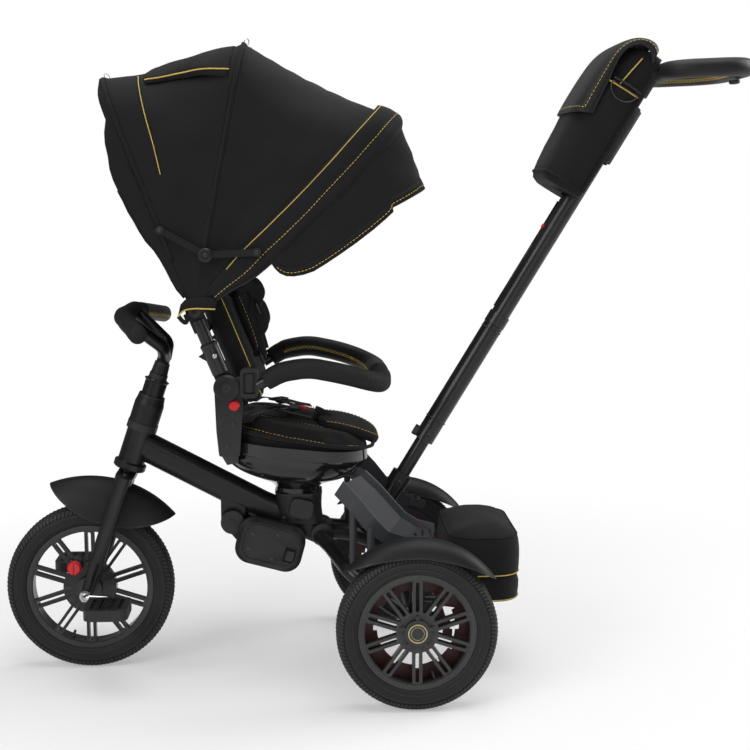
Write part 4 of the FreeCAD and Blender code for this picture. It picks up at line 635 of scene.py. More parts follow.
def plate(name, outline, normal, thick, finish, bevel=0.0008):
    """Flat plate from its outline, with rounded edges."""
    normal = Vector(normal).normalized()
    n = len(outline)
    verts = list(outline) + [p + normal * thick for p in outline]
    faces = [tuple(range(n)), tuple(range(2 * n - 1, n - 1, -1))]
    faces += [(i, i + n, (i + 1) % n + n, (i + 1) % n) for i in range(n)]
    obj = outward(piece(name, verts, faces, finish, smooth=False))
    work = bmesh.new()
    work.from_mesh(obj.data)
    edges = [e for e in work.edges if e.calc_face_angle(0) > math.radians(40)]
    bmesh.ops.bevel(work, geom=edges, offset=bevel, segments=2, affect="EDGES", clamp_overlap=True)
    work.to_mesh(obj.data)
    work.free()
    return obj


def rounded_outline(centre, u, v, half_u, half_v, corner, per=5):
    """Rounded rectangle in the plane of u and v, in millimetres."""
    out = []
    for su, sv, start in ((1, 1, 0), (-1, 1, 90), (-1, -1, 180), (1, -1, 270)):
        for k in range(per + 1):
            a = math.radians(start + 90 * k / per)
            du = su * (half_u - corner) + corner * math.cos(a)
            dv = sv * (half_v - corner) + corner * math.sin(a)
            out.append(centre + Vector(u) * (du * 0.001) + Vector(v) * (dv * 0.001))
    return out


# ---------------------------------------------------------------- geometry nodes
SMALL_PARTS = {
    "hexagon": ("Cylinder", {"Vertices": 6, "Radius": 0.5, "Depth": 1.0}),
    "disc": ("Cylinder", {"Vertices": 18, "Radius": 0.5, "Depth": 1.0}),
    "block": ("Cube", {}),
    "stitch": ("UVSphere", {"Segments": 8, "Rings": 5, "Radius": 0.5}),
    "dome": ("UVSphere", {"Segments": 14, "Rings": 7, "Radius": 0.5}),
}


def repeat_tree(kind):
    """Sets one small part on every point, turned by the point's facing and along vectors."""
    name = "Repeat " + kind
    tree = bpy.data.node_groups.get(name)
    if tree:
        return tree
    tree = bpy.data.node_groups.new(name, "GeometryNodeTree")
    face = tree.interface
    face.new_socket("Geometry", in_out="INPUT", socket_type="NodeSocketGeometry")
    for label, default in (("Length", 0.005), ("Width", 0.001), ("Height", 0.001)):
        face.new_socket(label, in_out="INPUT", socket_type="NodeSocketFloat").default_value = default
    face.new_socket("Material", in_out="INPUT", socket_type="NodeSocketMaterial")
    face.new_socket("Geometry", in_out="OUTPUT", socket_type="NodeSocketGeometry")
    head, tail = tree.nodes.new("NodeGroupInput"), tree.nodes.new("NodeGroupOutput")
    shape, values = SMALL_PARTS[kind]
    part = tree.nodes.new("GeometryNodeMesh" + shape)
    for key, value in values.items():
        part.inputs[key].default_value = value
    shade = fed(tree, "GeometryNodeSetShadeSmooth", Geometry=part.outputs["Mesh"])
    shade.inputs["Shade Smooth"].default_value = kind in ("stitch", "dome")
    turn = tree.nodes.new("FunctionNodeAxesToRotation")
    turn.primary_axis, turn.secondary_axis = "Z", "X"
    for label, socket in (("facing", 0), ("along", 1)):
        named = tree.nodes.new("GeometryNodeInputNamedAttribute")
        named.data_type = "FLOAT_VECTOR"
        named.inputs["Name"].default_value = label
        tree.links.new(named.outputs["Attribute"], turn.inputs[socket])
    size = tree.nodes.new("ShaderNodeCombineXYZ")
    for i, label in enumerate(("Length", "Width", "Height")):
        tree.links.new(head.outputs[label], size.inputs[i])
    points = fed(tree, "GeometryNodeMeshToPoints", Mesh=head.outputs["Geometry"])
    put = fed(tree, "GeometryNodeInstanceOnPoints", Points=points.outputs["Points"],
              Instance=shade.outputs["Geometry"], Rotation=turn.outputs["Rotation"],
              Scale=size.outputs["Vector"])
    real = fed(tree, "GeometryNodeRealizeInstances", Geometry=put.outputs["Instances"])
    paint = fed(tree, "GeometryNodeSetMaterial", Geometry=real.outputs["Geometry"],
                Material=head.outputs["Material"])
    tree.links.new(paint.outputs["Geometry"], tail.inputs["Geometry"])
    return tree


def repeated(name, kind, spots, size, finish):
    """Small parts on spots of (place, facing, along); size is (length, width, height) in metres."""
    mesh = bpy.data.meshes.new(name)
    mesh.from_pydata([tuple(s[0]) for s in spots], [], [])
    for k, label in ((1, "facing"), (2, "along")):
        layer = mesh.attributes.new(label, "FLOAT_VECTOR", "POINT")
        layer.data.foreach_set("vector", [c for s in spots for c in s[k]])
    obj = bpy.data.objects.new(name, mesh)
    bpy.context.scene.collection.objects.link(obj)
    tree = repeat_tree(kind)
    nodes = obj.modifiers.new("Repeat", "NODES")
    nodes.node_group = tree
    values = dict(zip(("Length", "Width", "Height"), size))
    values["Material"] = finish_of(finish)
    for item in tree.interface.items_tree:
        if item.in_out == "INPUT" and item.name in values:
            nodes[item.identifier] = values[item.name]
    out = applied(obj)
    for label in ("facing", "along"):
        if label in out.data.attributes:
            out.data.attributes.remove(out.data.attributes[label])
    return out


def stitches(name, line, facing, pitch=None, size=None, cross=0.0):
    """Row of thread stitches along a line; facing is a direction, or a function of the place."""
    s = sizes()
    pitch, size = pitch or s.pitch, size or s.stitch
    spots_at = spaced(line, pitch)
    spots = []
    for i in range(len(spots_at) - 1):
        place = (spots_at[i] + spots_at[i + 1]) / 2
        along = (spots_at[i + 1] - spots_at[i]).normalized()
        out = facing(place) if callable(facing) else Vector(facing)
        out = (out - along * out.dot(along)).normalized()
        turns = (cross, -cross) if cross else (0.0,)
        for angle in turns:
            way = Matrix.Rotation(angle, 3, out) @ along
            spots.append((place + out * (s.thread * 0.3), out, way))
    return repeated(name, "stitch", spots, (size, s.thread, s.thread), "gold")


def fasteners(name, kind, spots, across, height, finish):
    """Screws, nuts or rivets at (place, facing) in millimetre sizes."""
    full = []
    for place, facing in spots:
        facing = Vector(facing).normalized()
        full.append((place, facing, facing.orthogonal().normalized()))
    return repeated(name, kind, full, (across * 0.001, across * 0.001, height * 0.001), finish)


def both_sides(*places):
    """The places (x, y, z) on the right and the left, each facing outwards."""
    return [(mm(x, side * y, z), (0, side, 0)) for side in (-1, 1) for x, y, z in places]


# ---------------------------------------------------------------- canopy
# Steps of a row up a side, round a shoulder and over the crown
SIDE_STEPS, CORNER_STEPS, CROWN_STEPS = 14, 8, 15


def hoop_row(angle, top, low, inward=0.0, drop=0.0, slack=0.0, lift=0.0):
    """Points over the canopy at one angle, from the hem on the right over the roof to the left.

    inward pulls the sides in between the bows, drop lets the roof sag, slack softens the shoulders and
    lift moves the sides out, in millimetres.
    """
    y = CLOTH_Y + CLOTH_GAP - inward + lift
    r = top + COVER_RISE - drop
    c = BOW_CORNER + slack
    row = []
    for k in range(SIDE_STEPS):
        t = k / SIDE_STEPS
        pull = inward * (1 - math.sin(math.pi * min(1.0, t * 1.15)))
        row.append(fan_at(angle, low + (r - c - low) * t, y + pull))
    for k in range(CORNER_STEPS):
        a = math.pi / 2 * k / CORNER_STEPS
        row.append(fan_at(angle, r - c + c * math.sin(a), y - c + c * math.cos(a)))
    for k in range(CROWN_STEPS + 1):
        t = 2 * k / CROWN_STEPS - 1
        crown = CROWN * (1 - t * t)
        row.append(fan_at(angle, r + crown, -(y - c) * t))
    return row + mirrored(row[:SIDE_STEPS + CORNER_STEPS])


def wrinkle(p, seed=0.0):
    """Small creases of stretched cloth, in metres."""
    x, y, z = p * 1000.0
    a = math.sin(x * 0.045 + z * 0.06 + seed) * math.sin(z * 0.035 - x * 0.02 + y * 0.05 + seed * 2)
    b = math.sin(x * 0.11 - z * 0.09 + y * 0.07 + seed * 3)
    c = math.sin(x * 0.02 + z * 0.085 + seed) * math.sin(x * 0.035 - y * 0.03 + seed)
    return (a * 0.8 + b * 0.35 + c * 0.8) * 0.0021


def creased(rows, seed, keep_ends=True):
    """Moves inner rows off the sheet by the creases."""
    centre = pivot_at(*CREASE_MIDDLE)
    out = []
    last = len(rows) - 1
    for i, row in enumerate(rows):
        fade = 1.0 if not keep_ends else math.sin(math.pi * i / last) ** 0.6
        out.append([p + (p - centre).normalized() * wrinkle(p, seed) * fade for p in row])
    return out


def fan_polar(angle, r):
    a = math.radians(angle)
    return Vector((r * math.cos(a), r * math.sin(a)))


def roof_profile(share):
    """Angle, top radius and slack of the roof from the rear bow (0) to the front bow (1).

    The cloth runs straight from bow to bow, so the radius follows the chord between their crowns.
    """
    (a0, r0), (a1, r1), (a2, r2) = REAR_BOW, MIDDLE_BOW, FRONT_BOW
    part = (a0 - a1) / (a0 - a2)
    if share <= part:
        t, first, second = share / part, (a0, r0), (a1, r1)
    else:
        t, first, second = (share - part) / (1 - part), (a1, r1), (a2, r2)
    p = fan_polar(*first).lerp(fan_polar(*second), t)
    return math.degrees(math.atan2(p.y, p.x)), p.length, math.sin(math.pi * t)


def roof_row(share, proud=0.0, low=None):
    angle, radius, dip = roof_profile(share)
    if low is None:
        low = 4.0 + 20.0 * abs(share - 0.5) * 2
    return hoop_row(angle, radius + proud, low, inward=5.0 * dip, drop=6.0 * dip,
                    slack=38.0 * dip, lift=proud)


def share_at(angle):
    """Share of the roof whose row lies at this angle."""
    low, high = 0.0, 1.0
    for _ in range(24):
        mid = (low + high) / 2
        if roof_profile(mid)[0] > angle:
            low = mid
        else:
            high = mid
    return (low + high) / 2


def roof_point(angle, r, side, proud=1.5):
    """Place on the side or the rounded shoulder of the roof, by angle and radius."""
    row = roof_row(share_at(angle), proud=proud, low=20.0)
    half = row[:len(row) // 2 + 1]
    pivot = pivot_at()
    best = half[0]
    for p, q in zip(half, half[1:]):
        rp, rq = flat_radius(p - pivot), flat_radius(q - pivot)
        if rp <= r <= rq and rq > rp:
            best = p.lerp(q, (r - rp) / (rq - rp))
            break
        if rp <= r:
            best = q
    return creased_place(Vector((best.x, abs(best.y) * side, best.z)), share_at(angle))


def over_roof(share, low, proud):
    """Evenly spaced points over the roof from radius low on one side to the same on the other."""
    pivot = pivot_at()
    row = roof_row(share, proud=proud, low=20.0)
    half = row[:len(row) // 2 + 1]
    for k, (p, q) in enumerate(zip(half, half[1:])):
        rp, rq = flat_radius(p - pivot), flat_radius(q - pivot)
        if rp <= low < rq:
            half = [p.lerp(q, (low - rp) / (rq - rp))] + half[k + 1:]
            break
    half = [creased_place(p, share) for p in half if abs(p.y) > 0.001]
    line = half + mirrored(half)
    total = run_of(line)
    return spaced(line, total / 36.0)


def flap_rise(count):
    """How far the flap lifts off the roof at each point across it."""
    return [min(1.0, 0.35 + 0.5 * min(k, count - 1 - k)) for k in range(count)]


def creased_place(p, share):
    """A place on the roof moved with the roof's creases."""
    centre = pivot_at(*CREASE_MIDDLE)
    fade = max(0.0, roof_profile(share)[2]) ** 0.6
    return p + (p - centre).normalized() * wrinkle(p, ROOF_SEED) * fade


def flat_radius(v):
    return math.hypot(v.x, v.z) * 1000.0


def sewn_piping(name, line, radius=None):
    """Round piping cord along an edge."""
    return tube_mesh(name, line, radius or sizes().piping, "gold", sides=8)


class TRIKE_OT_canopy_roof(bpy.types.Operator):
    """Roof cloth stretched over the three bows, with its seams, zip line and window flap"""
    bl_idname = "trike.canopy_roof"
    bl_label = "Canopy roof"

    def execute(self, context):
        part = (REAR_BOW[0] - MIDDLE_BOW[0]) / (REAR_BOW[0] - FRONT_BOW[0])
        trims = []
        for spot, (share, body) in enumerate(((0.0, "backrest"), (part, "canopy_middle"))):
            line = roof_row(share, proud=0.6)[3:-3]
            trims.append(tube_mesh("bow_sleeve_%d" % spot, line, 0.0030, "cloth", sides=8))
            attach(trims[-1], body)
        rear = [self.window_flap(), self.zip_line()]
        crowns = [fan_at(*bow) for bow in (REAR_BOW, MIDDLE_BOW, FRONT_BOW)]
        self.panel("rear", [part * i / 20 for i in range(21)], "canopy_middle", crowns[:2],
                   ["rear_bow", "middle_bow"], rear, rear[1:] + trims[:1])
        front = [self.front_seams()]
        still = crowns[2] + (crowns[1] - crowns[2]) / (1 - MIDDLE_PLACE)
        self.panel("front", [part + (1 - part) * i / 22 for i in range(23)], "canopy_front",
                   (still, crowns[2]), ["middle_bow", "front_bow"], front, front + trims[1:])
        return {"FINISHED"}

    @classmethod
    def panel(cls, word, shares, body, span, rests_on, moved, sewn_on):
        """Roof cloth between two bows, with the transforms of the pieces made with it baked in; the
        pieces sewn to it are not used.

        span is where the cloth would stand still with the backrest and where it would follow the body
        whole; it is not used.
        """
        rows = creased([roof_row(s) for s in shares], ROOF_SEED)
        cloth = sheet_of("canopy_roof_" + word, rows, "cloth", sizes().cloth)
        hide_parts("canopy_%s_panel" % word)
        for obj in [cloth] + moved:
            tuple(span[0])
            tuple(span[1])
            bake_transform(obj)
        middle = rows[len(rows) // 2]
        wide = run_of(middle)
        cls.area_of(rows)

    @staticmethod
    def area_of(rows):
        total = 0.0
        for a, b in zip(rows, rows[1:]):
            for i in range(len(a) - 1):
                total += ((a[i + 1] - a[i]).cross(b[i] - a[i])).length / 2
                total += ((b[i + 1] - b[i]).cross(b[i + 1] - a[i + 1])).length / 2
        return total

    @staticmethod
    def window_flap():
        """Rolled cover over the roof window behind the middle bow."""
        rows, rims = [], []
        for i in range(21):
            t = i / 20
            share, low = share_at(101.4 - 20.6 * t), 357.0 + 6.0 * t
            lift = 2.2 + 6.5 * math.sin(math.pi * t) ** 0.7
            high, base = (over_roof(share, low, proud) for proud in (lift, 1.4))
            line = [p.lerp(q, k) for p, q, k in zip(base, high, flap_rise(len(base)))]
            if i in (0, 20):
                line = [p.lerp(q, 0.8) for p, q in zip(line, base)]
            rows.append(line)
            way = math.copysign(0.0032, line[1].y)
            rims.append((line[1] + Vector((0, way, 0.0008)), line[-2] - Vector((0, way, -0.0008))))
        cover = sheet_of("window_flap_cloth", rows, "cloth", 0.002)
        cords = [sewn_piping("flap_piping_%d" % k, smooth_line([r[k] for r in rims], 4))
                 for k in (0, 1)]
        return merged("window_flap", [cover] + cords)

    @staticmethod
    def zip_line():
        """Piped zip on each side of the rear panel."""
        objs = []
        for word, side in SIDES:
            line = [roof_point(a, r, side, proud=2.8) for a, r in ((102.9, 372), (102.9, 356),
                    (102.9, 330), (102.7, 300), (102.5, 262), (102.3, 216))]
            objs.append(sewn_piping("zip_" + word, smooth_line(line, 5), sizes().piping * 0.75))
        return merged("zip_lines", objs)

    @staticmethod
    def front_seams():
        """Raised double sleeve around the front bow, its piped rear seam and its stitched middle."""
        proud = (0.6, 2.6, 3.6, 3.9, 3.0, 2.3, 3.2, 4.2, 4.4, 3.4, 0.6, -3.0)
        last = len(proud) - 1
        rows = [sleeve_row(k / last, height) for k, height in enumerate(proud)]
        rows = creased(rows, ROOF_SEED, keep_ends=False)
        band = sheet_of("front_sleeve_cloth", rows, "cloth", 0.0016)
        centre = pivot_at(90, 100)
        seams = creased([sleeve_row(0.05, 2.6), sleeve_row(0.46, 3.6)], ROOF_SEED, keep_ends=False)
        cord = sewn_piping("sleeve_piping", seams[0][3:-3], sizes().piping * 0.7)
        sew = stitches("front_seam", smooth_line(seams[1], 2), lambda p: p - centre, pitch=FINE_PITCH)
        return merged("front_seams", [band, cord, sew])


# Radius and angle about the pivot along the sleeve's rear edge, middle and fold
SLEEVE_EDGES = (
    ((20, 60.0), (60, 55.0), (107, 53.2), (130, 51.7), (180, 49.4), (261, 47.9), (394, 47.8),
     (440, 47.8)),
    ((15, 31.7), (60, 34.0), (150, 38.6), (275, 41.4), (409, 43.4), (440, 43.6)),
    ((20, 22.0), (42, 27.0), (146, 31.4), (215, 35.0), (289, 37.0), (358, 39.0), (412, 40.3),
     (440, 40.6)))


def edge_angle(table, r):
    """Angle of a sleeve edge at a radius."""
    for (r0, a0), (r1, a1) in zip(table, table[1:]):
        if r <= r1:
            return a0 + (a1 - a0) * max(0.0, (r - r0) / (r1 - r0))
    return table[-1][1]


def sleeve_row(share, proud):
    """Line along the front bow; share runs from the sleeve's rear seam (0) to its fold (1)."""
    rear, middle, fold = SLEEVE_EDGES
    c, y = BOW_CORNER, CLOTH_Y + CLOTH_GAP + proud
    dip = 9.0 * (1 - 2 * share) if share < 0.5 else 7.0 * (2 * share - 1)
    top = FRONT_BOW[1] + COVER_RISE + proud - dip
    half = []

    def place(r, wide):
        a, b = edge_angle(middle, r), edge_angle(rear if share < 0.5 else fold, r)
        return fan_at(a + (b - a) * abs(1 - 2 * share), r, wide)

    for k in range(22):
        half.append(place(40.0 + (top - c - 40.0) * k / 22, y))
    for k in range(9):
        a = math.pi / 2 * k / 9
        half.append(place(top - c + c * math.sin(a), y - c + c * math.cos(a)))
    for k in range(8):
        t = 1 - k / 8
        half.append(place(top + CROWN * (1 - t * t), (y - c) * t))
    middle_point = place(top + CROWN, 0)
    return half + [middle_point] + mirrored(half)


class TRIKE_OT_canopy_rear(bpy.types.Operator):
    """Rear hood cloth behind the rear bow, with its back wall, hem band and hem piping"""
    bl_idname = "trike.canopy_rear"
    bl_label = "Canopy rear"

    def execute(self, context):
        rows = self.wall_rows()
        hood = sheet_of("canopy_rear_cloth", rows, "cloth", sizes().cloth)
        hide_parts("canopy_curtain")
        trims = [hem_band(side) for _, side in SIDES]
        rims = [[row[k] for row in rows[:12]] for k in (4, -5)]
        binding = [tube_mesh("hood_edge", rim, 0.0021, "cloth", sides=8) for rim in rims]
        binding.append(hook(REAR_BOW[0], REAR_BOW[1] + 6.0))
        trim = merged("canopy_rear_trim", trims + binding)
        for obj in (hood, trim):
            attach(obj, "backrest")
        width = run_of(rows[3])
        TRIKE_OT_canopy_roof.area_of(rows)
        return {"FINISHED"}

    @staticmethod
    def wall_rows():
        """Rows from the hem to the crown, each round the back from one side of the bow to the other."""
        angle, top = REAR_BOW
        r, c, y = top + COVER_RISE, BOW_CORNER, CLOTH_Y + CLOTH_GAP
        back = [Vector((a, b, 0)) for a, b in ((123.5, 50), (121.8, 95), (122.0, 150), (121.2, 205),
                (118.6, 259), (114.6, 310), (113.6, r - c))]
        back = smooth_line(back, 4)
        spots = []
        for k in range(18):
            low = 26.0 + (r - c - 26.0) * k / 17
            here = back[min(range(len(back)), key=lambda j: abs(back[j].y - max(low, 50.0)))]
            spots.append((low, y, here.x))
        for k in range(1, 9):
            a = math.pi / 2 * k / 8
            spots.append((r - c + c * math.sin(a) + 3.0 * (k / 8) ** 2,
                          y - c + c * math.cos(a) if k < 8 else 60.0,
                          113.6 + (angle + 0.4 - 113.6) * k / 8))
        rows = []
        for low, half, out in spots:
            row = []
            for t in (0.0, 0.3, 0.6, 0.85):
                row.append(fan_at(angle + (out - angle) * t, low, half - 2.0 * t))
            for j in range(17):
                t = 2 * j / 16 - 1
                bulge = 0.9 * (1 - t * t) * math.sin(math.pi * min(1.0, low / 330.0))
                row.append(fan_at(out + bulge, low, -(half - 3.0) * t))
            row += mirrored(row[:4])
            rows.append(row)
        return creased(rows, 2.1, keep_ends=False)


def fan_normal(angle):
    """Direction away from the cabin at one angle about the pivot."""
    a = math.radians(angle)
    return Vector((-math.sin(a), 0, math.cos(a)))


def hem_band(side):
    """Band of cloth round the hinge at the foot of the hood, with piping along its lower edge."""
    spots = [(-309, 618), (-303, 625), (-296, 628.5), (-286, 630), (-275, 630), (-262, 629.5),
             (-252, 629)]
    y = side * 179.5
    line = [mm(x, y, z) for x, z in spots]
    line = [mm(-310, side * 150, 617)] + line
    top = [p + Vector((0.004, -side * 0.003, 0.018)) for p in line]
    middle = [p.lerp(q, 0.5) for p, q in zip(line, top)]
    band = sheet_of("hem_band", [line, middle, top], "cloth", 0.0016)
    cord = sewn_piping("hem_piping", smooth_line(line, 5), 0.0013)
    lobe = [mm(-309, side * 176, 618), mm(-303, side * 178, 611), mm(-298, side * 176, 608),
            mm(-296, side * 174, 613), mm(-299, side * 172, 620)]
    tail = tube_mesh("hem_tail", smooth_line(lobe, 4), 0.0035, "cloth", sides=8)
    return merged("hem", [band, cord, tail])


def hook(angle, r, name="hook"):
    """Small wire hook with its ring at the top of a bow."""
    base = fan_at(angle, r, -48.0)
    up, lean = fan_normal(angle - 90), fan_normal(angle)
    ring = []
    for k in range(20):
        a = 2 * math.pi * k / 20
        ring.append(base + up * (0.0085 + 0.0058 * math.cos(a)) + Vector((0.0035 * math.sin(a),
                0.0045 * math.sin(a), 0)))
    loop = tube_mesh("hook_ring", ring, 0.0007, "zinc", sides=6, closed=True)
    bar = [base + up * 0.001 - lean * 0.010, base + up * 0.002 - lean * 0.002,
           base + up * 0.004 + lean * 0.003, base + up * 0.001 + lean * 0.006]
    arm = tube_mesh("hook_arm", smooth_line(bar, 5), 0.0011, "black_steel", sides=6)
    boss = tube_mesh("hook_base", [base - up * 0.002, base + up * 0.004], 0.0022, "zinc", sides=8)
    return merged(name, [loop, arm, boss])


class TRIKE_OT_canopy_visor(bpy.types.Operator):
    """Peak in front of the front bow with its wide binding and stitched edges"""
    bl_idname = "trike.canopy_visor"
    bl_label = "Canopy visor"

    def execute(self, context):
        rows = [self.visor_row(k / 8) for k in range(9)]
        rows = creased(rows, 4.4)
        peak = sheet_of("canopy_visor_cloth", rows, "cloth", sizes().cloth)
        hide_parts("canopy_visor")
        centre = pivot_at(110, 90)
        edge = tube_mesh("visor_binding", rows[-1], 0.0026, "cloth", sides=8)
        low = stitches("visor_edge_seam", [self.outside(p, q) for p, q in zip(rows[-1], rows[-2])][3:-3],
                        lambda p: p - centre, pitch=FINE_PITCH)
        band = hoop_band(rows[-2], rows[-1], 0.0018)
        trim = merged("canopy_visor_trim", [edge, low, band])
        for obj in (peak, trim):
            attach(obj, "canopy_front")
        width = run_of(rows[3])
        TRIKE_OT_canopy_roof.area_of(rows)
        top_hook = hook(MIDDLE_BOW[0], MIDDLE_BOW[1] + 6.0, "hook_2")
        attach(top_hook, "canopy_middle")
        return {"FINISHED"}

    @staticmethod
    def outside(edge, inner):
        """Place of the hem stitching: a little in from the edge, on the outer face."""
        p = edge.lerp(inner, 0.28)
        lift = 0.0026
        if abs(p.y) > 0.150:
            return p + Vector((0, math.copysign(lift, p.y), 0))
        return p + Vector((lift * 0.6, 0, lift * 0.8))

    @staticmethod
    def visor_row(s):
        """Row of the peak from the front bow (0) to its free edge (1)."""
        angle, top = FRONT_BOW
        c, y = BOW_CORNER, CLOTH_Y + 1.2
        edge_top = (27.8, 410.0)
        hem = [(40.0, 143), (36.5, 144), (32.4, 145), (28.0, 146), (24.6, 149), (21.8, 156), (20.3, 166),
                (19.4, 180), (19.3, 197), (20.6, 220), (22.0, 246), (23.4, 275), (24.8, 305),
               (26.0, 330), (26.8, 346)]
        r = top + COVER_RISE
        row = []
        for k, (a, b) in enumerate(hem):
            t = k / len(hem)
            start = fan_at(angle - 3.0 * (1 - t) ** 2, 143 + (r - c - 143) * t, y)
            row.append(start.lerp(fan_at(a, b, y + 0.8), s))
        for k in range(9):
            a = math.pi / 2 * k / 8
            start = fan_at(angle, r - c + c * math.sin(a), y - c + c * math.cos(a))
            end = fan_at(edge_top[0], edge_top[1] - c + c * math.sin(a), y - c + c * math.cos(a))
            row.append(start.lerp(end, s))
        for k in range(1, 8):
            t = 1 - k / 8
            crown = CROWN * (1 - t * t)
            start = fan_at(angle, r + crown, (y - c) * t)
            end = fan_at(edge_top[0], edge_top[1] + crown, (y - c) * t)
            row.append(start.lerp(end, s))
        middle = fan_at(angle, r + CROWN, 0).lerp(fan_at(edge_top[0], edge_top[1] + CROWN, 0), s)
        return row + [middle] + mirrored(row)


def hoop_band(a, b, lift):
    """Raised band of doubled cloth between two rows."""
    centre = pivot_at(110, 90)
    rows = []
    for t in (0.0, 0.5, 1.0):
        rows.append([p.lerp(q, t) + (p - centre).normalized() * lift * (1 if t == 0.5 else 0.7)
                     for p, q in zip(a, b)])
    return sheet_of("visor_band", [r[1:-1] for r in rows], "cloth", 0.001)


# ---------------------------------------------------------------- padded liner
def ring_points(centre, u, v, half_u, half_v, corner, count=56):
    """Evenly spaced points of a rounded rectangle, in millimetres."""
    outline = rounded_outline(centre, u, v, half_u, half_v, corner, 8)
    outline.append(outline[0].copy())
    line = spaced(outline, run_of(outline) / count)
    return line[:count]


def swollen(obj, voxel, cap):
    """Swells a pad by cloth simulation, with each point kept near where it started."""
    remesh = obj.modifiers.new("Remesh", "REMESH")
    remesh.mode = "VOXEL"
    remesh.voxel_size = voxel
    applied(obj)
    start = [v.co.copy() for v in obj.data.vertices]
    cloth = obj.modifiers.new("Cloth", "CLOTH")
    cloth.settings.quality = 5
    cloth.settings.mass = 0.2
    cloth.settings.use_pressure = True
    cloth.settings.uniform_pressure_force = 4.0
    cloth.settings.effector_weights.gravity = 0.0
    cloth.point_cache.frame_start, cloth.point_cache.frame_end = 1, 20
    scene = bpy.context.scene
    for step in range(1, 21):
        scene.frame_set(step)
    applied(obj)
    scene.frame_set(1)
    for v, p in zip(obj.data.vertices, start):
        move = v.co - p
        if move.length > cap:
            v.co = p + move.normalized() * cap
    work = bmesh.new()
    work.from_mesh(obj.data)
    for _ in range(2):
        bmesh.ops.smooth_vert(work, verts=work.verts, factor=0.5, use_axis_x=True, use_axis_y=True,
                              use_axis_z=True)
    work.to_mesh(obj.data)
    work.free()
    softened(obj)
    obj.data.shade_smooth()
    return obj


def sewn(obj, lines, width, depth):
    """Presses sewn channels into a pad along lines of points."""
    places = [p for line in lines for p in spaced(line, width * 0.5)]
    tree = KDTree(len(places))
    for i, p in enumerate(places):
        tree.insert(p, i)
    tree.balance()
    normals = [v.normal.copy() for v in obj.data.vertices]
    for v, n in zip(obj.data.vertices, normals):
        _, _, d = tree.find(v.co)
        if d < width:
            v.co -= n * depth * (1 - d / width) ** 1.5
    obj.data.update()
    return obj


def raised(line):
    """The line well above the seat, ready to drop onto it."""
    return [p + UP * 0.02 for p in line]


def on_surface(obj, line, way, lift=0.0006):
    """Drops a line of points onto a piece along a direction."""
    way = Vector(way).normalized()
    out = []
    for p in line:
        hit, place, _, _ = obj.ray_cast(p - way * 0.12, way, distance=0.3)
        if hit:
            out.append(place - way * lift)
    return out


TUB_X, TUB_Z, TUB_HX, TUB_HY = -131.0, 396.0, 121.0, 142.0


def tilted(x, z, half_x, half_y, tilt, corner, count=64):
    """Rounded ring about (x, z), tilted by so many degrees."""
    a = math.radians(-tilt)
    along = Vector((math.cos(a), 0, math.sin(a)))
    return ring_points(mm(x, 0, z), along, ACROSS, half_x, half_y, corner, count)


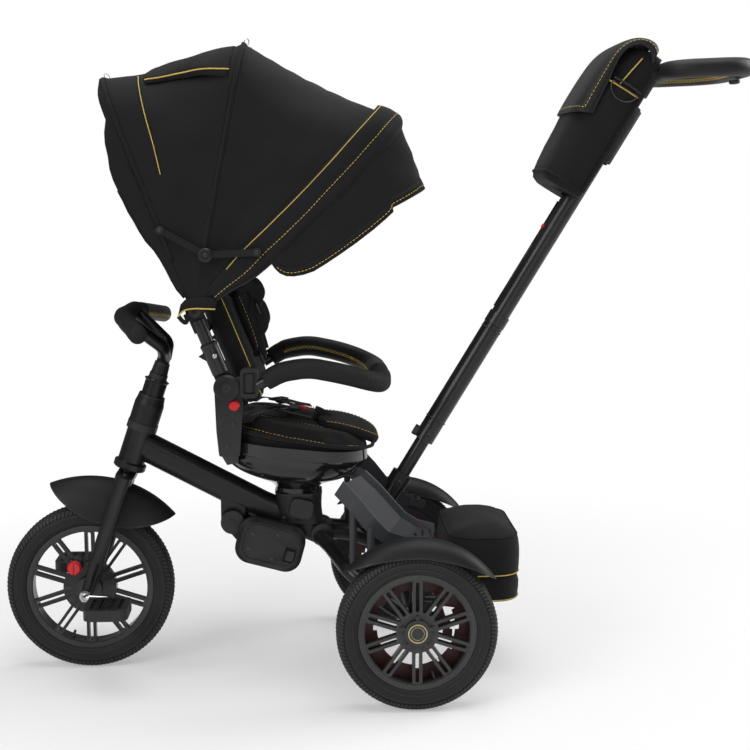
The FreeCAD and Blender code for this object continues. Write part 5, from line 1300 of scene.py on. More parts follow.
class TRIKE_OT_seat_liner(bpy.types.Operator):
    """Padded seat liner with a raised edge roll, sewn channels, stitching and a front tongue"""
    bl_idname = "trike.seat_liner"
    bl_label = "Seat liner"

    def execute(self, context):
        x, z, hx, hy = TUB_X, TUB_Z, TUB_HX, TUB_HY
        rings = [tilted(x + 1, z - 28, hx * 0.78, hy * 0.82, 5, 78),
                 tilted(x, z - 12, hx * 0.955, hy * 0.955, 5.5, 86),
                 tilted(x, z + 4, hx * 0.96, hy * 0.96, 5.9, 88),
                 tilted(x + 4, z + 8, hx - 1, hy - 3, 6.5, 88),
                 tilted(x + 9, z + 14, hx + 1, hy - 1, 9, 88),
                 tilted(x + 8, z + 22, hx - 6, hy - 10, 10.5, 80),
                 tilted(x + 7, z + 28, hx - 26, hy - 32, 11, 62)]
        pad = loft("seat_liner", rings, "liner")
        swollen(pad, 0.0055, 0.006)
        keep_out(pad)
        edge = smooth_line(tilted(x + 8, z + 20, hx - 10, hy - 14, 10.5, 78, 48), 3, closed=True)
        down = (0, 0, -1)
        inner = on_surface(pad, edge, down)
        ribs = []
        for y in (-52, 0, 52):
            ribs.append([mm(x - 70 + 11 * k, y * (1 + 0.01 * k), z + 40) for k in range(14)])
        ribs = [on_surface(pad, line, down) for line in ribs]
        sewn(pad, [inner, ribs[0], ribs[2]], 0.007, 0.0028)
        edge = on_surface(pad, raised(edge), down, 0.0004)
        rows = [stitches("liner_stitch_a", edge + edge[:1], (0, 0, 1))]
        outer = [mm(TUB_X + 9, 0, TUB_Z + 16) + (p - mm(TUB_X + 8, 0, TUB_Z + 20)) * 1.075
                 for p in edge]
        outer = on_surface(pad, raised(outer), down, 0.0004)
        rows.append(stitches("liner_stitch_b", outer + outer[:1], (0, 0, 1)))
        for i in (0, 2):
            line = on_surface(pad, raised(ribs[i]), down, 0.0004)
            rows.append(stitches("liner_stitch_c%d" % i, line, (0, 0, 1)))
        roll = smooth_line(tilted(x + 10, z + 15.5, hx + 0.5, hy - 1.5, 9, 88, 48), 3, closed=True)
        rows.append(ring_cord("liner_roll", roll, 0.0032, "liner"))
        trim = merged("seat_liner_trim", rows)
        tongue = self.tongue()
        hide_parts("seat_cushion")
        for obj in (pad, trim, tongue):
            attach(obj, "seat")
        return {"FINISHED"}

    @staticmethod
    def tongue():
        """Soft front flap of the liner that lies over the rim of the bowl."""
        rings = []
        stops = [(-96, 428.5, 66, 5.0), (-66, 424.0, 72, 7.0), (-36, 416.5, 74, 8.0),
                 (-12, 407.0, 70, 8.0), (2, 399.0, 58, 7.5), (9, 392.5, 40, 5.5)]
        for x, z, half, thick in stops:
            a = math.radians(-18 if x < -20 else -30)
            up = Vector((-math.sin(a), 0, math.cos(a)))
            rings.append(ring_points(mm(x, 0, z), ACROSS, up, half, thick, thick * 0.8, 40))
        flap = softened(loft("seat_tongue_core", rings, "liner"))
        line = [mm(x, half - 8, z + 30) for x, z, half, _ in stops]
        line += [mm(9, y, 420) for y in (20, 0, -20)]
        line += [mm(x, -(half - 8), z + 30) for x, z, half, _ in reversed(stops)]
        line = on_surface(flap, smooth_line(line, 5), (0, 0, -1), 0.0005)
        sew = stitches("tongue_stitch", line, (0.2, 0, 1))
        return merged("seat_tongue", [flap, sew])


def keep_out(obj):
    """Keeps the liner clear of the horns that carry the backrest brackets."""
    for v in obj.data.vertices:
        if v.co.x < -0.2165 and abs(v.co.y) > 0.106 and v.co.z < 0.442:
            v.co.x = -0.2165


class TRIKE_OT_back_liner(bpy.types.Operator):
    """Padded back liner with side bolsters, a head end and gold stitching"""
    bl_idname = "trike.back_liner"
    bl_label = "Back liner"

    def execute(self, context):
        up, front = back_ways()
        f0 = 10.8
        stops = [(-46, 100, 6, 27, 12), (-38, 110, 1.5, 36, 15), (0, 116, 1, 38, 17),
                 (60, 119, 1, 39, 17), (120, 117, 1, 39, 17), (165, 109, 1.5, 37, 16),
                 (184, 100, 3, 33, 14), (194, 88, 7, 27, 10)]
        rings = []
        for b, half, low, high, corner in stops:
            rings.append(ring_points(back_at(b, f0 + (low + high) / 2), front, ACROSS,
                                     (high - low) / 2, half, corner, 72))
        pad = loft("back_liner", rings, "liner")
        swollen(pad, 0.0055, 0.004)
        for v in pad.data.vertices:
            rel = (v.co - mm(BOSS[0], 0, BOSS[1])) * 1000
            b, f = rel.dot(up), rel.dot(front)
            hollow = 9.0 * math.exp(-(v.co.y * 1000 / 52.0) ** 2) * (1 if f > f0 + 25 else 0)
            v.co -= front * (hollow * 0.001 * math.exp(-((b - 60) / 110.0) ** 2))
        pad.data.update()
        back = -front
        lines = []
        for y in (-78, 78):
            lines.append([back_at(b, 70, y) for b in range(-30, 181, 10)])
        lines.append([back_at(150, 70, y) for y in range(-76, 77, 8)])
        lines.append([back_at(20, 70, y) for y in range(-76, 77, 8)])
        pressed = [on_surface(pad, line, back) for line in lines]
        sewn(pad, pressed, 0.008, 0.0035)
        rows = []
        for i, line in enumerate(lines):
            low = on_surface(pad, line, back, 0.0005)
            rows.append(stitches("back_stitch_%d" % i, low, tuple(front)))
        rim = []
        for b, half, low, high, corner in stops[1:-1]:
            rim.append(back_at(b, f0 + high - 4.5, -half + 0.5))
        for b, half, low, high, corner in reversed(stops[1:-1]):
            rim.append(back_at(b, f0 + high - 4.5, half - 0.5))
        near = smooth_line(rim[:len(rim) // 2], 6)
        far = smooth_line(rim[len(rim) // 2:], 6)
        rows.append(sewn_piping("back_edge_a", near, 0.0007))
        rows.append(sewn_piping("back_edge_b", far, 0.0007))
        trim = merged("back_liner_trim", rows)
        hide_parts("back_cushion")
        for obj in (pad, trim):
            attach(obj, "backrest")
        return {"FINISHED"}


class TRIKE_OT_harness(bpy.types.Operator):
    """Shoulder pads, harness webbing, adjusters and the details of the buckle"""
    bl_idname = "trike.harness"
    bl_label = "Harness"

    def execute(self, context):
        up, front = back_ways()
        pads = []
        for word, side in SIDES:
            rings = []
            for b, half, lift, thick in ((27, 13, 55.5, 3.5), (34, 17, 56.5, 5.0), (70, 18, 58, 5.8),
                                         (104, 18, 59, 5.8), (124, 17, 60, 5.2), (129, 13, 60, 3.5)):
                rings.append(ring_points(back_at(b, lift + 3, side * PAD_Y), ACROSS, front,
                                         half, thick, thick * 0.85, 32))
            pad = softened(loft("shoulder_pad_" + word, rings, "liner"))
            sew = []
            for dy in (-13.5, 13.5):
                line = [back_at(b, 80, side * PAD_Y + dy) for b in range(32, 126, 6)]
                line = on_surface(pad, line, -front, 0.0004)
                sew.append(stitches("pad_stitch", line, tuple(front)))
            pads.append(merged("shoulder_pad_sewn_" + word, [pad] + sew))
        both = merged("shoulder_pads_sewn", pads)
        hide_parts("shoulder_pads")
        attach(both, "backrest")
        upper = []
        for word, side in SIDES:
            y = side * PAD_Y
            line = soft_line(back_at, [(150, 52, y), (146, 58, y), (134, 62, y), (120, 68.5, y),
                    (70, 68, y), (30, 64, y), (16, 62, y)], 6)
            upper.append(strap("shoulder_web_" + word, line, 0.022, 0.0016, "webbing", up=ACROSS))
            upper.append(self.slider(back_at(12, 62, y), up, front, "adjuster_" + word))
            loop = soft_line(back_at, [(132, 60, y), (136, 78, y * 1.05), (126, 93, y * 1.1),
                    (108, 95, y * 1.15), (96, 84, y * 1.12), (86, 88, y * 1.1), (64, 86, y * 1.05),
                    (52, 72, y)], 6)
            upper.append(strap("shoulder_tail_" + word, loop, 0.020, 0.0016, "webbing", up=ACROSS))
            upper.append(self.slider(back_at(92, 89, y * 1.12), up, front, "loop_adjuster_" + word))
        web = merged("shoulder_webbing", upper)
        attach(web, "backrest")
        lower = []
        along = Vector((0.9816, 0, -0.1908))
        rise = Vector((0.1908, 0, 0.9816))
        base = mm(-120, 0, 431)
        for word, side in SIDES:
            line = soft_line(mm, [(-208, side * 112, 440), (-196, side * 96, 449),
                                  (-176, side * 70, 452), (-152, side * 42, 450), (-134, side * 26, 446),
                                   (-126, side * 20, 443)], 6)
            lower.append(strap("lap_web_" + word, line, 0.022, 0.0018, "webbing",
                               up=Vector((0, 0.3, 1))))
            lower.append(self.slider(mm(-160, side * 52, 453),
                                     Vector((0.6, -side * 0.75, 0)).normalized(), UP,
                                     "lap_adjuster_" + word))
            tip = plate("tongue_" + word, rounded_outline(mm(-126, side * 27, 441.5), along,
                        ACROSS, 10, 8, 3), rise, 0.0045, "plastic")
            lower.append(tip)
            slack = soft_line(mm, [(-150, side * 38, 447), (-157, side * 52, 449),
                                   (-150, side * 61, 450), (-138, side * 64, 447),
                                   (-122, side * 62, 443), (-104, side * 66, 439)], 6)
            lower.append(strap("lap_tail_" + word, slack, 0.019, 0.0016, "webbing", up=UP))
        crotch = soft_line(mm, [(-74, 0, 424.5), (-84, 0, 430), (-92, 0, 434.5), (-99, 0, 437.0)], 5)
        lower.append(strap("crotch_web", crotch, 0.024, 0.002, "webbing", up=ACROSS))
        ribs = []
        for k in range(5):
            place = base + along * (0.008 + 0.0032 * k) + rise * 0.0176
            ribs.append((place, rise, ACROSS))
        lower.append(repeated("buckle_ribs", "stitch", ribs, (0.022, 0.0014, 0.0014), "satin"))
        lap = merged("lap_webbing", lower)
        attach(lap, "seat")
        dress(NODES["harness_buckle"], "satin")
        return {"FINISHED"}

    @staticmethod
    def slider(place, along, out, name):
        """Three-bar adjuster on the webbing."""
        side = along.cross(out).normalized()
        ring = rounded_outline(place, side, along, 14.5, 9.5, 3.5, 4)
        frame_bar = ring_cord(name, ring, 0.0019, "satin")
        ends = [place - side * 0.014, place + side * 0.014]
        bar = tube_mesh(name + "_bar", ends, 0.0019, "satin", sides=8)
        return merged(name, [frame_bar, bar])


# ---------------------------------------------------------------- foam sleeves
def arm_path():
    right = [mm(*p) for p in ARM_LINE]
    left = [Vector((p.x, -p.y, p.z)) for p in right]
    return round_corners(left[:-1] + right[::-1], [60, 100, 140, 70, 200, 70, 140, 100, 60])


def round_corners(points, bends):
    """Line with arcs of the given radii, in millimetres, at its inner corners."""
    out = [points[0]]
    for i in range(1, len(points) - 1):
        r = bends[i - 1] * 0.001
        before = (points[i - 1] - points[i]).normalized()
        after = (points[i + 1] - points[i]).normalized()
        half = before.angle(after) / 2
        reach = r / math.tan(half)
        a, b = points[i] + before * reach, points[i] + after * reach
        centre = points[i] + (before + after).normalized() * (r / math.sin(half))
        for k in range(13):
            t = k / 12
            mid = (a.lerp(b, t) - centre).normalized()
            out.append(centre + mid * r)
    out.append(points[-1])
    return spaced(out, 0.005)


class TRIKE_OT_armrest(bpy.types.Operator):
    """Foam sleeve of the armrest with a leather wrap and cross stitching on its inner side"""
    bl_idname = "trike.armrest"
    bl_label = "Armrest"

    def execute(self, context):
        path = arm_path()[3:-3]
        foam = tube_mesh("armrest_sleeve", path, lambda t: 0.0164 - 0.0012 * (abs(2 * t - 1) ** 30),
                         "foam", sides=28, up=UP)
        wrap_line = [p for p in path if p.y > 0.02]
        wrap = tube_mesh("armrest_wrap", wrap_line[2:-5],
                         lambda t: 0.0176 - 0.0008 * abs(2 * t - 1) ** 20, "leather", sides=28, up=UP)
        inner = []
        for p, (t, _, _) in zip(path, frames_along(path, UP)):
            inward = (mm(-110, 0, 500) - p)
            inward.z = 0.0
            inward = (inward - t * inward.dot(t)).normalized()
            inner.append((p, inward))
        seam = [p + d * 0.0175 for p, d in inner if p.y > 0.02][2:-5]

        def facing(q):
            return mm(-110, 0, q.z * 1000) - q
        sew = stitches("armrest_stitches", seam, facing, cross=0.75, pitch=0.0062, size=0.0092)
        trim = merged("armrest_trim", [wrap, sew])
        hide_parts("armrest_foam")
        for obj in (foam, trim):
            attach(obj, "armrest")
        return {"FINISHED"}


class TRIKE_OT_grips(bpy.types.Operator):
    """Foam grips of the handlebar with a stitched leather patch"""
    bl_idname = "trike.grips"
    bl_label = "Handlebar grips"

    def execute(self, context):
        ends = [steer_at(461, 37, 190), steer_at(465.5, 78, 78), steer_at(459, 86, 0)]
        left = [Vector((p.x, -p.y, p.z)) for p in ends]
        tip = (ends[0] - ends[1]).normalized() * 0.003
        tip_l = Vector((tip.x, -tip.y, tip.z))
        line = round_corners([left[0] + tip_l, left[1], ends[2], ends[1], ends[0] + tip], [30, 60, 30])

        def size(t):
            end = min(t, 1 - t)
            return 0.0143 - 0.0022 * max(0.0, 1 - end / 0.012) ** 2 + 0.0003 * math.sin(t * 40)
        foam = tube_mesh("grip_sleeves", line, size, "foam", sides=24)
        far = [p for p in line if p.y > 0.098]
        wrap = tube_mesh("grip_wrap", far, 0.01475, "leather", sides=24)
        base = far[1:-1]
        way = Vector((0.9, -0.2, -0.3))
        seam = []
        for p, (t, _, _) in zip(base, frames_along(base)):
            d = (way - t * way.dot(t)).normalized()
            seam.append(p + d * 0.0149)
        sew = stitches("grip_stitches", seam, lambda q: way, cross=0.8, pitch=FINE_PITCH, size=0.0088)
        trim = merged("grip_trim", [wrap, sew])
        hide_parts("handlebar_grips")
        for obj in (foam, trim):
            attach(obj, "steering")
        return {"FINISHED"}


# ---------------------------------------------------------------- pouch on the push bar
POUCH_EDGE = [(647, 59), (662, 61), (685, 63), (706, 65), (728, 68), (746, 69), (762, 65.5), (774, 57),
              (780, 46), (779, 34), (773, 24), (764, 17)]
POUCH_CREST = [(634, 87), (655, 88), (685, 88), (712, 87), (736, 84.5), (756, 79), (773, 70), (786, 58),
               (793, 45), (796, 34), (796, 26), (793, 20)]
POUCH_HALF = 86.0


def pouch_section(s, deep, half, bulge, near=2.0, seed=0.0):
    """Ring of the bag at s along the bar: rounded front, straight sides and a channel for the tube."""
    ring = []
    for k in range(33):
        a = math.pi * k / 32
        c, n = math.cos(a), math.sin(a)
        y = -math.copysign(abs(c) ** 0.5, c) * (half + bulge * n)
        d = near + 20 + (deep - near - 20) * n ** 0.55
        fold = 1.1 * math.sin(0.09 * s + 0.05 * y + seed) * math.sin(0.055 * y * 1.7 + seed) * n
        ring.append(push_at(s, d + fold, y))
    for y, d in ((half, near + 10), (half - 3, near), (50, near), (26, near + 1), (21, 10), (14, 17.6),
                 (0, 18.4), (-14, 17.6), (-21, 10), (-26, near + 1), (-50, near), (3 - half, near),
                 (-half, near + 10)):
        ring.append(push_at(s, d, y))
    return ring


class TRIKE_OT_pouch(bpy.types.Operator):
    """Bag behind the handle with folded gussets, leather flap, ring, webbing and hook-and-loop band"""
    bl_idname = "trike.pouch"
    bl_label = "Pouch"

    def execute(self, context):
        rings = []
        stops = [(522, 48, 60, 0), (519, 62, 76, 0), (523, 70, 82, 1), (532, 75, 84, 2),
                 (550, 78, 84.5, 3), (575, 80, 84.5, 3), (600, 82, 85, 2), (630, 84, 85, 1),
                 (660, 85, 85.5, 0), (690, 85, 86, 0), (704, 84, 86, 0)]
        for i, (s, deep, half, bulge) in enumerate(stops):
            rings.append(pouch_section(s, deep, half, bulge, near=2.0 if i > 2 else 6.0 - i, seed=1.3))
        body = loft("pouch_body", rings, "cloth", top=False)
        inner = []
        for s, deep, half in ((690, 82, 80), (715, 82, 79), (738, 78, 78), (756, 71, 77), (770, 60, 76),
                              (778, 44, 74)):
            inner.append(pouch_section(s, deep, half, 0, near=4.0, seed=2.0))
        lining = loft("pouch_lining", inner, "liner", foot=False)
        trims = []
        for _, side in SIDES:
            y = side * 86.6
            edge = [(704, 8, y), (704.5, 34, y), (704, 56, y), (704, 68, side * 84)]
            edge = soft_line(push_at, edge, 6)
            trims.append(sewn_piping("pouch_edge", edge, 0.0013))
            fold = soft_line(push_at, [(706, 44, side * 81), (730, 40, side * 80.6),
                    (762, 34, side * 79.5)], 6)
            trims.append(sewn_piping("pouch_fold", fold, 0.0011))
            back = soft_line(push_at, [(530, 4, side * 85), (600, 3, side * 86), (700, 3, side * 86.5),
                    (752, 5, side * 84)], 8)
            trims.append(tube_mesh("pouch_rib", back, 0.0022, "cloth", sides=8))
            web = soft_line(push_at, [(712, 8, side * 84), (713.5, 30, side * 87.5),
                                      (712, 58, side * 87.5)], 6)
            trims.append(strap("pouch_web", web, 0.012, 0.0018, "webbing",
                               up=(push_at(1) - push_at(0))))
            ring = [push_at(706 - 21 * math.sin(math.pi * k / 14), 34 + 24 * math.cos(math.pi * k / 14),
                            side * (88.6 + 1.5 * math.sin(math.pi * k / 14))) for k in range(15)]
            trims.append(ring_cord("pouch_ring", ring, 0.0011, "black_steel"))
        trims.append(tube_mesh("pouch_bottom_rib", rings[3][:33], 0.0021, "cloth", sides=8))
        trims += [self.band(598, 704, 4.0), self.band(602, 700, 8.0)]
        cover = merged("pouch_bag", [body, lining] + trims)
        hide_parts("pouch")
        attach(cover, "push_bar")
        flap = self.flap()
        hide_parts("pouch_flap")
        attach(flap, "flap")
        return {"FINISHED"}

    @staticmethod
    def band(s0, s1, out):
        """Hook-and-loop band round the back of the tube with a free tail."""
        rows = []
        for k in range(13):
            a = math.pi * k / 12
            y = -(19.0 + out * 0.4) * math.cos(a)
            d = 1.0 - (17.6 + out) * math.sin(a) ** 0.7
            if out > 5 and k < 3:
                y, d = -(19.0 + out) - 3.0 * (3 - k), -4.0 - 6 * k
            rows.append([push_at(s0 + (s1 - s0) * t, d, y) for t in (0, 0.25, 0.5, 0.75, 1)])
        return sheet_of("pouch_band", rows, "webbing", 0.0016)

    @staticmethod
    def flap():
        """Leather flap wrapped over the top and the rounded front, stitched all round."""
        def row(edge, crest, grow):
            out = []
            for k in range(31):
                a = math.pi * k / 30
                c, n = math.cos(a), math.sin(a)
                share = n ** 0.5
                s = edge[0] + (crest[0] - edge[0]) * share
                d = edge[1] + (crest[1] - edge[1]) * share
                y = -math.copysign(abs(c) ** 0.5, c) * (POUCH_HALF + 1.2 + grow)
                out.append(push_at(s, d, y))
            return out

        edges = smooth_line([Vector((*p, 0)) for p in POUCH_EDGE], 4)
        crests = smooth_line([Vector((*p, 0)) for p in POUCH_CREST], 4)
        rows = [row(e, c, 0.0) for e, c in zip(edges, crests)]
        leather = sheet_of("flap_leather", rows, "leather", 0.0032)
        centre = push_at(690, 20, 0)
        line = [r[2] for r in reversed(rows[2:])] + rows[2][3:-3] + [r[-3] for r in rows[2:]]
        lifted = [p + (p - centre).normalized() * 0.0019 for p in line]
        sew = stitches("flap_stitch", lifted, lambda p: p - centre)
        rim = [r[0] for r in reversed(rows)] + rows[0] + [r[-1] for r in rows]
        bead = tube_mesh("flap_bead", rim, 0.002, "leather", sides=8)
        return merged("pouch_flap_leather", [leather, sew, bead])


def handle_path():
    z0, z1 = 1003.0, 1009.0
    corners = [mm(477, 0, z0), mm(477, -104, z0), mm(607, -104, z1), mm(607, 104, z1), mm(477, 104, z0),
               mm(477, 0.01, z0)]
    return round_corners(corners, [38, 52, 52, 38])


class TRIKE_OT_push_handle(bpy.types.Operator):
    """Zigzag stitching, seam and release button of the push handle, with the marks of its tube"""
    bl_idname = "trike.push_handle"
    bl_label = "Push handle"

    def execute(self, context):
        path = handle_path()
        centre = mm(542, 0, 1006)
        inner = []
        for p, (t, _, _) in zip(path, frames_along(path, UP)):
            way = (centre - p)
            way.z = 0
            way = (way - t * way.dot(t)).normalized()
            inner.append(p + way * 0.0135 - Vector((0, 0, 0.0068)))
        far = [p for p in inner if p.x > 0.492]

        def facing(q):
            return (centre - q).normalized() - UP * 0.45
        sew = stitches("handle_stitches", far, facing, cross=0.85, pitch=FINE_PITCH, size=0.0098)
        seam = tube_mesh("handle_seam", far, 0.0009, "leather", sides=6)
        button = lathe("handle_button", mm(598, -30, 992), (0.1, 0, -1),
                       [(0, 9), (4.5, 9), (6.5, 7), (7.2, 0)], "plastic", 28)
        rings = [lathe("handle_ring_%d" % k, push_at(s), push_at(1) - push_at(0), [(0, 16.2),
                (0.6, 17.6), (4.4, 17.6), (5, 16.2)], "satin", 36) for k, s in enumerate((727, 734))]
        trim = merged("push_handle_trim", [sew, seam, button] + rings)
        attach(trim, "push_bar")
        dress(NODES["push_handle"], "leather")
        groove = strap("tube_groove", [push_at(300, 15.1), push_at(505, 15.1)], 0.006, 0.0016, "gloss",
                       up=ACROSS)
        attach(groove, "push_bar")
        bolts = [(push_at(55, 0, -17.2), (0, -1, 0)), (push_at(55, 0, 17.2), (0, 1, 0)),
                 (push_at(-40, 0, -17.8), (0, -1, 0)), (push_at(-40, 0, 17.8), (0, 1, 0))]
        screws = fasteners("push_bar_screws", "dome", bolts, 7.0, 3.0, "black_steel")
        hoops = [ring_cord("sleeve_hoop", [push_at(s, 17.4 * math.cos(math.pi * a / 24),
                                                   17.4 * math.sin(math.pi * a / 24))
                                           for a in range(48)], 0.0011, "satin") for s in (83, 263)]
        low = merged("push_sleeve_trim", [screws] + hoops)
        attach(low, "frame")
        return {"FINISHED"}


# ---------------------------------------------------------------- storage
def bin_ring(z, grow):
    """Ring of the bin at a height, grown outwards by so many millimetres."""
    corner = max(42 + grow * 0.7, 12)
    return ring_points(mm(182.5, 0, z), REARWARD, ACROSS, 60.5 + grow, 116 + grow, corner, 72)


class TRIKE_OT_storage(bpy.types.Operator):
    """Cloth bin and its padded lid with piped edges"""
    bl_idname = "trike.storage"
    bl_label = "Storage bin"

    def execute(self, context):
        levels = ((178.5, 0), (188, 0.8), (202, 1.4), (218, 1.2), (232, -0.4), (240, -2.6),
                  (243.5, -6.5), (249, -18), (254, -34), (256.5, -50))
        lid_rings = [bin_ring(z, g) for z, g in levels]
        lid = loft("lid_cover", lid_rings, "cloth", foot=False)
        for v in lid.data.vertices:
            x, y, z = v.co * 1000
            v.co.z += 0.0011 * math.sin(x * 0.05 + 1) * math.sin(y * 0.04) * (1 if z > 246 else 0.2)
        lining = [bin_ring(178.5, -1.6), bin_ring(208, -3.4), bin_ring(211.9, -8)]
        under = loft("lid_lining", lining, "liner", foot=False)
        parts = [lid, under, ring_cord("lid_piping", bin_ring(178.5, 0.4), 0.0009, "gold"),
                 ring_cord("lid_seam", bin_ring(241.5, -3.4), 0.0015, "cloth")]
        cover = merged("storage_lid_cover", parts)
        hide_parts("storage_lid")
        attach(cover, "lid")
        levels = ((134.5, -14), (133.2, -5), (134.5, -0.8), (140, 0.2), (150, 0.6), (162, -0.6),
                  (174, -2.6), (184, -5.0), (196, -8.5), (211, -12.2))
        walls = [bin_ring(z, g) for z, g in levels]
        shell = loft("bin_wall", walls, "cloth", top=False)
        for v in shell.data.vertices:
            x, y, z = v.co * 1000
            v.co.x += 0.0012 * math.sin(z * 0.14 + y * 0.03) * (1 if z < 176 else 0)
        shell = thickened(shell, 0.0035, -1.0)
        parts = [shell, ring_cord("bin_piping", bin_ring(136.5, -0.1), 0.0008, "gold")]
        pull = [mm(245, 18, 152), mm(247, 0, 149), mm(245, -18, 152)]
        parts.append(strap("bin_pull", pull, 0.018, 0.002, "webbing", up=REARWARD))
        bag = merged("storage_bin_cloth", parts)
        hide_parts("storage_basket")
        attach(bag, "frame")
        return {"FINISHED"}


# ---------------------------------------------------------------- wheels
def wheel_at(hub, y, angle, r, out=0.0):
    a = math.radians(angle)
    return mm(hub[0] + r * math.cos(a), y + out, hub[1] + r * math.sin(a))


def tyre_profile(r, rim_r):
    """Half of a tyre's outer section as (across, radius)."""
    return [(-13.2, rim_r - 5.4), (-13.3, rim_r - 0.5), (-13.6, rim_r + 0.4), (-17.6, rim_r + 0.5),
            (-18.9, rim_r + 2.4), (-20.6, rim_r + 6), (-22.0, rim_r + 11), (-22.8, (rim_r + r) / 2),
            (-22.6, r - 13.5), (-21.9, r - 12.8), (-21.6, r - 10.2), (-20.4, r - 6.6), (-17.6, r - 3.6),
            (-13.0, r - 1.7), (-8.0, r - 0.9), (-3.0, r - 0.5)]


def tyre_mesh(name, hub, y, r, rim_r):
    half = tyre_profile(r, rim_r)
    profile = half + [(-a, b) for a, b in reversed(half)]
    rows = []
    count = 96
    for k in range(count):
        ang = 360.0 * k / count
        rows.append([wheel_at(hub, y, ang, b, a) for a, b in profile])
    rows.append(rows[0])
    return loft(name, rows, "rubber", False, False)


def tread(name, hub, y, r):
    """Shoulder lugs and slanted crown blocks of a tyre."""
    count = sizes().tread
    lugs, blocks, bars = [], [], []
    for k in range(count):
        ang = 360.0 * k / count
        a = math.radians(ang)
        radial = Vector((math.cos(a), 0, math.sin(a)))
        tangent = Vector((-math.sin(a), 0, math.cos(a)))
        for side in (-1, 1):
            out = (radial * 0.55 + Vector((0, side, 0)) * 0.83).normalized()
            way = (Vector((0, -side, 0)) * 0.5 + radial * 0.75 + tangent * 0.35 * side)
            lugs.append((wheel_at(hub, y, ang, r - 7.4, side * 20.6), out, way))
            out = (radial * 0.9 + Vector((0, side, 0)) * 0.42).normalized()
            way = (Vector((0, -side, 0)) + radial * 0.3 + tangent * 0.55)
            half = 180.0 / count
            blocks.append((wheel_at(hub, y, ang + half, r - 2.8, side * 13.6), out, way))
            bars.append((wheel_at(hub, y, ang, r - 1.3, side * 5.0), radial,
                         Vector((0, side, 0)) + tangent * 0.8))
    return [repeated(name + word, "block", spots, size, "rubber") for word, spots, size in (
        ("_lugs", lugs, (0.0088, 0.0036, 0.0024)), ("_blocks", blocks, (0.0098, 0.0044, 0.0024)),
        ("_bars", bars, (0.0078, 0.0040, 0.0022)))]


class TRIKE_OT_tyres(bpy.types.Operator):
    """Tyres with treaded crowns and ribbed shoulders"""
    bl_idname = "trike.tyres"
    bl_label = "Tyres"

    def execute(self, context):
        wheels = [("front", FRONT_HUB, 0.0, 141.0, 107.0, "front_tyre", "front_wheel")]
        for word, side in SIDES:
            wheels.append(("rear_" + word, REAR_HUB, side * HALF_TRACK, 127.0, 93.0,
                           "rear_tyre_" + word, "rear_wheel_" + word))
        for word, hub, y, r, rim_r, node, body in wheels:
            shell = tyre_mesh(word + "_tyre_shell", hub, y, r, rim_r)
            bands = []
            for side in (-1, 1):
                for rr, w in ((rim_r + 8.5, 21.5), (r - 14.6, 22.75)):
                    ring = [wheel_at(hub, y, 360.0 * k / 72, rr, side * w) for k in range(72)]
                    bands.append(tube_mesh("bead", ring, 0.0007, "rubber", sides=6, closed=True))
            whole = merged(word + "_tyre_treaded", [shell] + tread(word, hub, y, r) + bands)
            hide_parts(node)
            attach(whole, body)
        return {"FINISHED"}


VALVE = ((0, 3.2), (7, 2.8), (8, 2.4), (14, 2.2), (15, 0))


